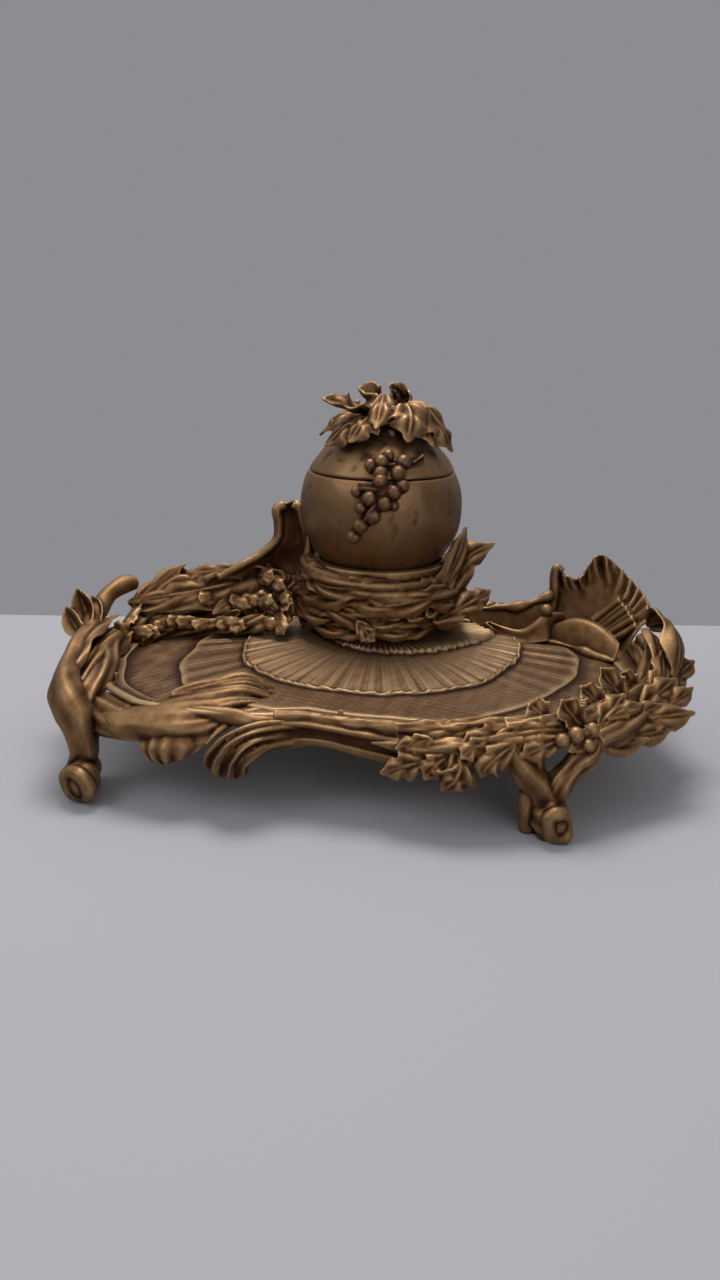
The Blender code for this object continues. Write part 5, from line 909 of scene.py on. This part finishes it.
def crest():
    def reeds(u, v):
        far = np.clip((u - 0.52) * 8, 0, 1)
        outer = np.clip((v - 0.48) * 8, 0, 1)
        lumps = np.clip((v - 0.62) * 4, 0, 1) * (1 - far)
        ridges = far * outer * 0.0008 * np.cos(math.tau * (u * 13 - v * 1.4))
        hollow = (1 - far) * 0.0014 * np.sin(math.pi * v)
        return ridges - hollow + lumps * (0.0012 * np.cos(u * 44 + 2 * v) + 0.0008 * np.cos(u * 71 + v * 9))

    def smooth_lip(u, v):
        return 0.0005 * np.cos(math.tau * (v * 3.0)) * np.clip(v * 2 - 0.6, 0, 1)

    parts = [
        sheet("""
            3.6 .86 1, 4.6 .865 1.28, 5.7 .88 1.58, 6.7 .895 1.8
            2 .868 1, 3.2 .89 1.34, 4.2 .91 1.56, 5 .925 1.74
            .5 .878 1, 1.6 .91 1.36, 2.7 .94 1.56, 3.5 .955 1.72
            -.8 .888 1, .4 .925 1.42, 1.9 .955 1.66, 3.2 .985 1.91
            -2.4 .9 1, -.8 .94 1.46, 1 .98 1.76, 2.5 1.02 2.06
            -4.2 .905 1, -2.6 .95 1.44, -.5 1 1.72, 1.4 1.05 2
            -6.5 .915 1, -5 .96 1.4, -3 1.01 1.64, -.6 1.06 1.87
            -9 .92 1, -7.5 .965 1.35, -5.5 1.015 1.54, -2.9 1.06 1.73
            -11.5 .925 1, -10 .97 1.31, -8.2 1.015 1.47, -6.5 1.055 1.63
            -15 .93 1, -14.2 .965 1.27, -13.2 1 1.38, -12 1.03 1.5""", 0.0032, relief=reeds, size=(150, 60)),
        stem("5 .845 1.04 .5, 5.4 .865 1.5 .5, 6.2 .88 1.72 .5, 6.4 .895 1.84 .46, 5.6 .91 1.8 .3",
             RAIL_RADIUS, count=50),
        sheet("""
            10 .47 1.32, 2 .45 1.12, -5 .45 1.2, -8 .46 1.04
            7 .54 1.3, 0 .51 1.05, -9 .51 1.16, -13 .51 1.02
            4 .62 1.32, -1 .59 1.05, -11 .575 1.17, -14 .575 1.02
            3 .7 1.36, -1 .68 1.12, -9 .66 1.36, -13 .655 1.06
            4 .79 1.44, 1 .77 1.2, -4 .75 1.34, -8 .72 1.06
            5 .86 1.5, 3 .845 1.2, -1 .81 1.22, -5 .79 1.06""", 0.003, relief=smooth_lip, size=(90, 60)),
        bead(spot((351.5, 0.665, 1.42)), 0.0030),
        stem("9.5 .475 1.33 .4, 7 .54 1.31 .35, 4 .62 1.33 .42, 3 .7 1.38 .35, 4 .79 1.46 .4, "
             "5 .85 1.5 .4", RAIL_RADIUS, count=90, gnarl=0.35),
        sheet("""
            356 .7 1.16, 351 .68 1.2, 347.5 .675 1.06
            352 .78 1.34, 348 .75 1.34, 344.5 .72 1.06
            347.2 .83 1.37, 344 .81 1.34, 341 .785 1.05
            343.7 .87 1.31, 341.5 .855 1.27, 339 .84 1.04
            340.8 .9 1.22, 339.2 .895 1.17, 337.5 .88 1.03""", 0.0032, size=(70, 40)),
        stem("348 .665 1.06 .22, 344.8 .715 1.06 .24, 341.2 .78 1.05 .24, 339.2 .835 1.04 .24, "
             "337.6 .88 1.03 .22", RAIL_RADIUS, count=90, gnarl=0.5),
    ]
    for row in (
            "-3.2 .89 1.24 .5, -4.2 .93 1.4 .5, -5.4 .97 1.56 .5",
            "-4.8 .895 1.2 .44, -6 .935 1.36 .44, -7.2 .975 1.52 .44",
            "-6.2 .9 1.18 .5, -7.4 .94 1.34 .5, -8.6 .98 1.5 .5",
            "-7.8 .905 1.17 .42, -8.9 .945 1.31 .42, -10 .98 1.45 .42",
            "-9.2 .91 1.16 .48, -10.2 .95 1.3 .48, -11.2 .985 1.42 .48",
            "-11.2 .92 1.14 .4, -12 .955 1.25 .4, -12.8 .985 1.36 .4"):
        parts.append(stem(row, RAIL_RADIUS, sides=16, count=40))
    return fused("rear_crest_shellwork", parts, FINE_VOXEL)


def rear_rim():
    rope = stem("16 .96 1.14 1, 25 .99 1.14 1, 40 1.02 1.12 1, 60 1.02 1.12 1, 90 1.02 1.12 1, "
                "120 1.02 1.12 1, 140 1.01 1.12 1, 150 .99 1.14 1, 157 .97 1.16 1", RAIL_RADIUS, sides=36,
                count=220, groove=0.12, grooves=3, twist=26)
    return fused("rear_rim_rope", [rope])


# Twisted leaf bands of the nest: (reach, height, phase, slant, leaf width)
NEST_WINDINGS = [(1.08, 0.76, 0.6, 0.025, 0.0110), (1.13, 0.83, 3.4, 0.035, 0.0135),
                 (1.07, 0.93, 5.2, 0.035, 0.0135), (0.99, 0.665, 1.8, 0.015, 0.0115)]
NEST_LEAVES = """
    300 1.257 .74, 322 1.152 .868, 345 1.27 1.036, 356 1.608 1.105, 1.35 290 60 -.3 2
    305 1.25 .701, 332 1.433 .789, 350 1.592 .819, 1.1 300 55 -.3 2
    255 1.207 .72, 262 1.294 .661, 267 1.308 .612, .8 270 60 -.3 2
    292 1.16 .8, 315 1.16 .9, 338 1.16 1.06, 352 1.2 1.22, 1 300 65 -.3 1
    288 1.18 .72, 312 1.2 .8, 335 1.22 .94, 350 1.32 1.06, .95 300 60 -.3 1"""


def nest_spot(place):
    angle, reach, rise = place
    turn = math.radians(angle)
    across, along = math.cos(turn) * reach * NEST_RADIUS, math.sin(turn) * reach * NEST_RADIUS
    return np.array((POT_X + across, POT_Y + along, rise * NEST_TOP))


def nest():
    cup = [(0.0206, 0.0417), (0.0290, 0.0417), (0.0320, 0.0440), (NEST_RADIUS * 1.06, NEST_TOP * 0.72),
           (NEST_RADIUS * 1.05, NEST_TOP * 0.92), (NEST_RADIUS, NEST_TOP), (0.0290, NEST_TOP),
           (0.0270, NEST_TOP * 0.78), (0.0206, 0.0467)]
    parts = [turned(cup, 96)]
    for number, (reach, lift, phase, slant, width) in enumerate(NEST_WINDINGS):
        def at(turn, more=0.0, up=0.0):
            swell = NEST_RADIUS * (reach + 0.04 * math.sin(turn * 2 + phase)) + more
            rise = NEST_TOP * (lift + slant * math.sin(turn + phase)) + up
            return np.array((POT_X + math.cos(turn) * swell, POT_Y + math.sin(turn) * swell, rise))

        ring = [at(math.tau * k / 36) for k in range(37)]
        parts.append(tube(ring, [WINDING_RADIUS] * 2, sides=20, count=150, groove=0.10, grooves=4, twist=5))
        many = 7
        for k in range(many):
            start = math.tau * (k + 0.4 * number) / many
            way = 1 if number % 2 == 0 else -1
            path = [at(start + way * math.tau / many * 1.75 * s, 0.0012 + 0.0026 * math.sin(math.pi * s),
                       0.0030 * math.sin(math.pi * s * 2 + number)) for s in (0, 0.33, 0.66, 1.0)]
            middle = at(start + way * math.tau / many * 0.8)
            face = unit(middle - np.array((POT_X, POT_Y, middle[2] - 0.012)))
            parts.append(leaf(path, width, face, 3, -0.35, base=0.62, thick=0.0016, notch=0.32, vein=0.06))
    parts += leaves(NEST_LEAVES, nest_spot, notch=0.25, vein=0.05)
    return fused("nest_of_leaves", parts, keep=0.5)


def arc(radius, start, end, steps):
    lifts = np.radians(np.linspace(start, end, steps))
    return [(radius * math.cos(a), POT_CENTRE + radius * math.sin(a)) for a in lifts]


def dented(rings):
    """Ball surface with soft dents, as cast and chased by hand."""
    centre = np.array((POT_X, POT_Y, POT_CENTRE))
    out = unit(rings - centre)
    far = np.linalg.norm(rings - centre, axis=-1)
    amount = np.clip((far - POT_RADIUS + 0.0012) / 0.0010, 0, 1)
    depth = rough(rings, 0.030) * 0.00022 + rough(rings, 0.011, 8) * 0.00010
    return rings + out * (amount * depth - amount * 0.0003)[..., None]


def polished(name, profile, body, node):
    item = mesh_of(name, [turned(profile, 180, dents=dented)])
    welded(item)
    worn_and_shaded(item, grain=0.00004, step=0.006, depth=0.0003, rounds=20)
    dressed(item, POT_LOOK, body, node)


def pot():
    seam = SEAM_HEIGHT - SEAM_GAP / 2
    seat = TRAY_HEIGHT + HUB_RISE + 0.0003
    inner = POT_RADIUS - POT_WALL
    ledge_top = seam - LEDGE_DEPTH
    ledge_under = ledge_top - 0.0024
    opening, well = 0.0217, 0.0247
    top_angle = math.degrees(math.asin((seam - POT_CENTRE) / POT_RADIUS))
    foot_angle = -math.degrees(math.acos(0.0176 / POT_RADIUS))
    under_angle = math.degrees(math.asin((ledge_under - POT_CENTRE) / inner))
    profile = [(0.0031, seat), (0.020, seat), (0.020, seat + 0.003), (0.015, seat + 0.006), (0.015, 0.0640)]
    profile += arc(POT_RADIUS, foot_angle, top_angle - 0.8, 70)
    profile += arc(POT_RADIUS - LIP_SET_BACK, top_angle, top_angle, 1)
    profile += [(well + 0.0003, seam), (well, seam - 0.0004), (well, ledge_top), (opening, ledge_top),
                (opening, ledge_under)]
    profile += arc(inner, under_angle, -75, 24) + [(0.0031, POT_CENTRE - inner * 0.97)]
    polished("pot_ball", profile, "base", "pot_body")


def lid():
    seam = SEAM_HEIGHT + SEAM_GAP / 2
    inner = POT_RADIUS - POT_WALL
    low = math.degrees(math.asin((seam - POT_CENTRE) / POT_RADIUS))
    low_inner = math.degrees(math.asin((seam - POT_CENTRE) / inner))
    profile = arc(POT_RADIUS - LIP_SET_BACK, low, low, 1) + arc(POT_RADIUS, low + 0.8, 86, 48)
    profile += arc(inner, 86, low_inner, 24)
    polished("pot_dome", profile, "lid", "lid_shell")


def ball_place(place):
    azimuth, elevation, reach = place
    return ball(azimuth, elevation, reach * POT_RADIUS)


def finial():
    parts = leaves("""
        250 84 1.1, 216 70 1.26, 200 59 1.5, 1.05 212 30 .35 2
        240 80 1.14, 228 60 1.21, 216 42 1.14, 1.3 220 50 -.5 2
        250 80 1.14, 246 62 1.22, 240 46 1.15, 1.05 245 50 -.5 2
        268 88 1.33, 265 72 1.3, 262 55 1.2, .85 262 55 -.5 1
        100 84 1.16, 150 82 1.28, 185 80 1.36, .95 240 55 .4 1
        20 80 1.16, 10 78 1.28, 350 76 1.36, 1.2 280 65 .3 2
        330 80 1.16, 310 72 1.32, 300 60 1.29, 290 47 1.16, 1.35 290 50 -.5 2
        350 80 1.16, 338 66 1.32, 336 50 1.24, 338 38 1.13, 1.3 325 55 -.5 2
        320 78 1.14, 322 60 1.2, 316 44 1.12, .95 310 55 -.45 1
        200 84 1.12, 190 66 1.2, 186 50 1.14, 1 195 55 -.45 1
        20 80 1.16, 10 62 1.26, 8 46 1.16, 1.1 10 50 -.5 1
        90 82 1.16, 92 62 1.22, 95 44 1.14, 1.15 90 45 -.4 1
        150 80 1.14, 165 62 1.2, 170 46 1.13, 1.1 165 45 -.4 1
        50 80 1.14, 50 62 1.22, 50 46 1.14, 1.1 50 45 -.4 1""",
                   ball_place, FINIAL_LEAF_WIDTH, ruffle=0.22, notch=0.28, vein=0.045)
    parts.append(bead(ball(0, 90, POT_RADIUS + 0.002), 0.0105, (1, 1, 0.55)))
    item = fused("finial_leaves", parts, FINE_VOXEL)
    worn_and_shaded(item)
    dressed(item, CAST_LOOK, "lid", "vine_leaf_finial")


def grapes(name, rows, bed, body, node):
    parts = [bead(ball(az, el, POT_RADIUS + 0.0014), GRAPE_RADIUS * share, rings=16, facets=28)
             for az, el, share in numbers(rows)]
    for line in bed:
        way = [ball(az, el, POT_RADIUS + 0.0004) for az, el in numbers(line)]
        parts.append(tube(way, [0.0026, 0.0022], groove=0.2, grooves=5, twist=2, gnarl=0.25))
    item = fused(name, parts, GRAPE_VOXEL, 2)
    worn_and_shaded(item, grain=0.00006)
    dressed(item, POT_LOOK, body, node)


def liner():
    under = SEAM_HEIGHT - SEAM_GAP / 2 - LEDGE_DEPTH + 0.0003
    top, floor = under + 0.0018, under + 0.0018 - LINER_DEPTH
    profile = [
        (0, floor), (0.0168, floor), (0.0190, floor + 0.0006), (0.0205, floor + 0.0022),
        (0.0210, floor + 0.0045), (0.0210, under - 0.0004), (0.0214, under), (0.0237, under),
        (0.0240, under + 0.0004), (0.0240, top - 0.0005), (0.0236, top), (0.0196, top),
        (0.0190, top - 0.0008), (0.0190, floor + 0.0060), (0.0180, floor + 0.0032),
        (0.0155, floor + 0.0020), (0, floor + 0.0020),
    ]
    item = mesh_of("ink_cup_glass", [turned(profile, 128)])
    welded(item)
    look = plain("ink_cup_glass_look", (0.86, 0.92, 0.90), 0.06)
    surface = look.node_tree.nodes["Principled BSDF"]
    surface.inputs["Transmission Weight"].default_value = 0.9
    surface.inputs["IOR"].default_value = 1.5
    dressed(item, look, "liner", "glass_liner")


def gilded(item, node):
    worn_and_shaded(item)
    points = points_of(item.data)
    points[:, 2] = np.maximum(points[:, 2], 0)
    move_points(item.data, points)
    dressed(item, CAST_LOOK, "base", node)


tray()
for make, node in (
        (left_leg, "left_branch_leg"), (left_scroll, "left_rear_scroll"), (cartouche, "front_left_cartouche"),
        (moulding, "front_moulding"), (front_spray, "front_leaf_spray"), (right_leg, "right_front_leg"),
        (right_branch, "right_leaf_branch"), (crest, "rear_right_crest"), (rear_rim, "rear_rim_moulding"),
        (nest, "leaf_nest")):
    gilded(make(), node)
pot()
lid()
finial()
grapes("grapes_on_pot", "268 24 1, 277 17 1, 261 13 1, 271 10 1, 277 9 .7, 256 7 .8, 264 2 1, 256 -4 1, "
       "251 -12 .9, 283 21 .9, 252 17 .7",
       ("286 22, 276 20, 266 18, 252 20", "276 20, 266 8, 256 -4, 251 -11"), "base", "grape_cluster_pot")
grapes("grapes_on_lid", "268 37 1, 286 37 1, 281 29.5 1, 268 30 .9, 260 35 .8, 274 42 .8",
       ("306 40, 288 36, 272 35, 258 33",), "lid", "grape_cluster_lid")
liner()

for name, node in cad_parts.items():
    if node.hide_render:
        continue
    cast = name.startswith("rear_") and name.endswith("_foot")
    node.data.materials.clear()
    node.data.materials.append(CAST_LOOK if cast else BRASS_LOOK)
    mark_wear_and_painted_light(node.data, np.full(len(node.data.vertices), 0.5))


# Stage, light and camera
SKY = ((0.0, (0.10, 0.10, 0.11, 1)), (0.9, (0.85, 0.84, 0.84, 1)))
SKY_STRENGTH = 0.74
SKY_LEAN = 0.30
WALL_GREY = (0.262, 0.262, 0.283, 1)
TABLE_GREY = (0.335, 0.335, 0.368)
CAMERA_PLACE = (-0.0056, -0.443, 0.189)
CAMERA_TILT = 90 - 17.7
CAMERA_ROLL = 0.9
CAMERA_LENS = 29.53

floor_verts = np.array([(-1.6, -1.6, 0), (1.6, -1.6, 0), (1.6, 0.19, 0), (-1.6, 0.19, 0)])
floor = mesh_of("table_top", [(floor_verts, np.array([[0, 1, 2, 3]]))])
floor.data.materials.append(plain("table_grey", TABLE_GREY, 0.75))

world = bpy.data.worlds.new("studio")
bpy.context.scene.world = world
world.use_nodes = True
sky = world.node_tree
back = sky.nodes["Background"]
back.inputs["Strength"].default_value = SKY_STRENGTH
aim, split, lean, shade, wall, path, either = (sky.nodes.new("ShaderNode" + kind) for kind in (
    "TexCoord", "SeparateXYZ", "Math", "ValToRGB", "Background", "LightPath", "MixShader"))
lean.operation = "MULTIPLY_ADD"
lean.inputs[1].default_value = SKY_LEAN
for stop, (place, colour) in zip(shade.color_ramp.elements, SKY):
    stop.position = place
    stop.color = colour
wall.inputs["Color"].default_value = WALL_GREY
for source, target in (
        (aim.outputs["Generated"], split.inputs["Vector"]), (split.outputs["Y"], lean.inputs[0]),
        (split.outputs["Z"], lean.inputs[2]), (lean.outputs[0], shade.inputs["Fac"]),
        (shade.outputs["Color"], back.inputs["Color"]), (path.outputs["Is Camera Ray"], either.inputs["Fac"]),
        (back.outputs["Background"], either.inputs[1]), (wall.outputs["Background"], either.inputs[2]),
        (either.outputs["Shader"], sky.nodes["World Output"].inputs["Surface"])):
    sky.links.new(source, target)


def lamp(name, place, aim, size, power, colour=(1, 1, 1)):
    data = bpy.data.lights.new(name, "AREA")
    data.shape = "DISK"
    data.size = size
    data.energy = power
    data.color = colour
    item = placed(name, data)
    item.location = place
    item.rotation_euler = (Vector(aim) - Vector(place)).to_track_quat("-Z", "Y").to_euler()


lamp("overhead", (-0.04, 0.33, 1.05), (0, 0, 0.04), 0.50, 8.6, (1.0, 0.97, 0.93))
lamp("window", (-0.8, -0.45, 0.8), (0, 0, 0.05), 0.8, 3.4, (0.97, 0.98, 1.0))
lamp("bounce", (0.4, -1.0, 0.4), (0, 0, 0.05), 0.9, 3.0)

eye = bpy.data.cameras.new("eye")
eye.lens = CAMERA_LENS
eye.sensor_width = 36
eye.clip_start = 0.01
camera = placed("camera", eye)
camera.matrix_world = (Matrix.Translation(CAMERA_PLACE) @ Matrix.Rotation(math.radians(CAMERA_TILT), 4, "X")
                       @ Matrix.Rotation(math.radians(CAMERA_ROLL), 4, "Z"))
bpy.context.scene.camera = camera
bpy.context.scene.view_settings.view_transform = "Standard"
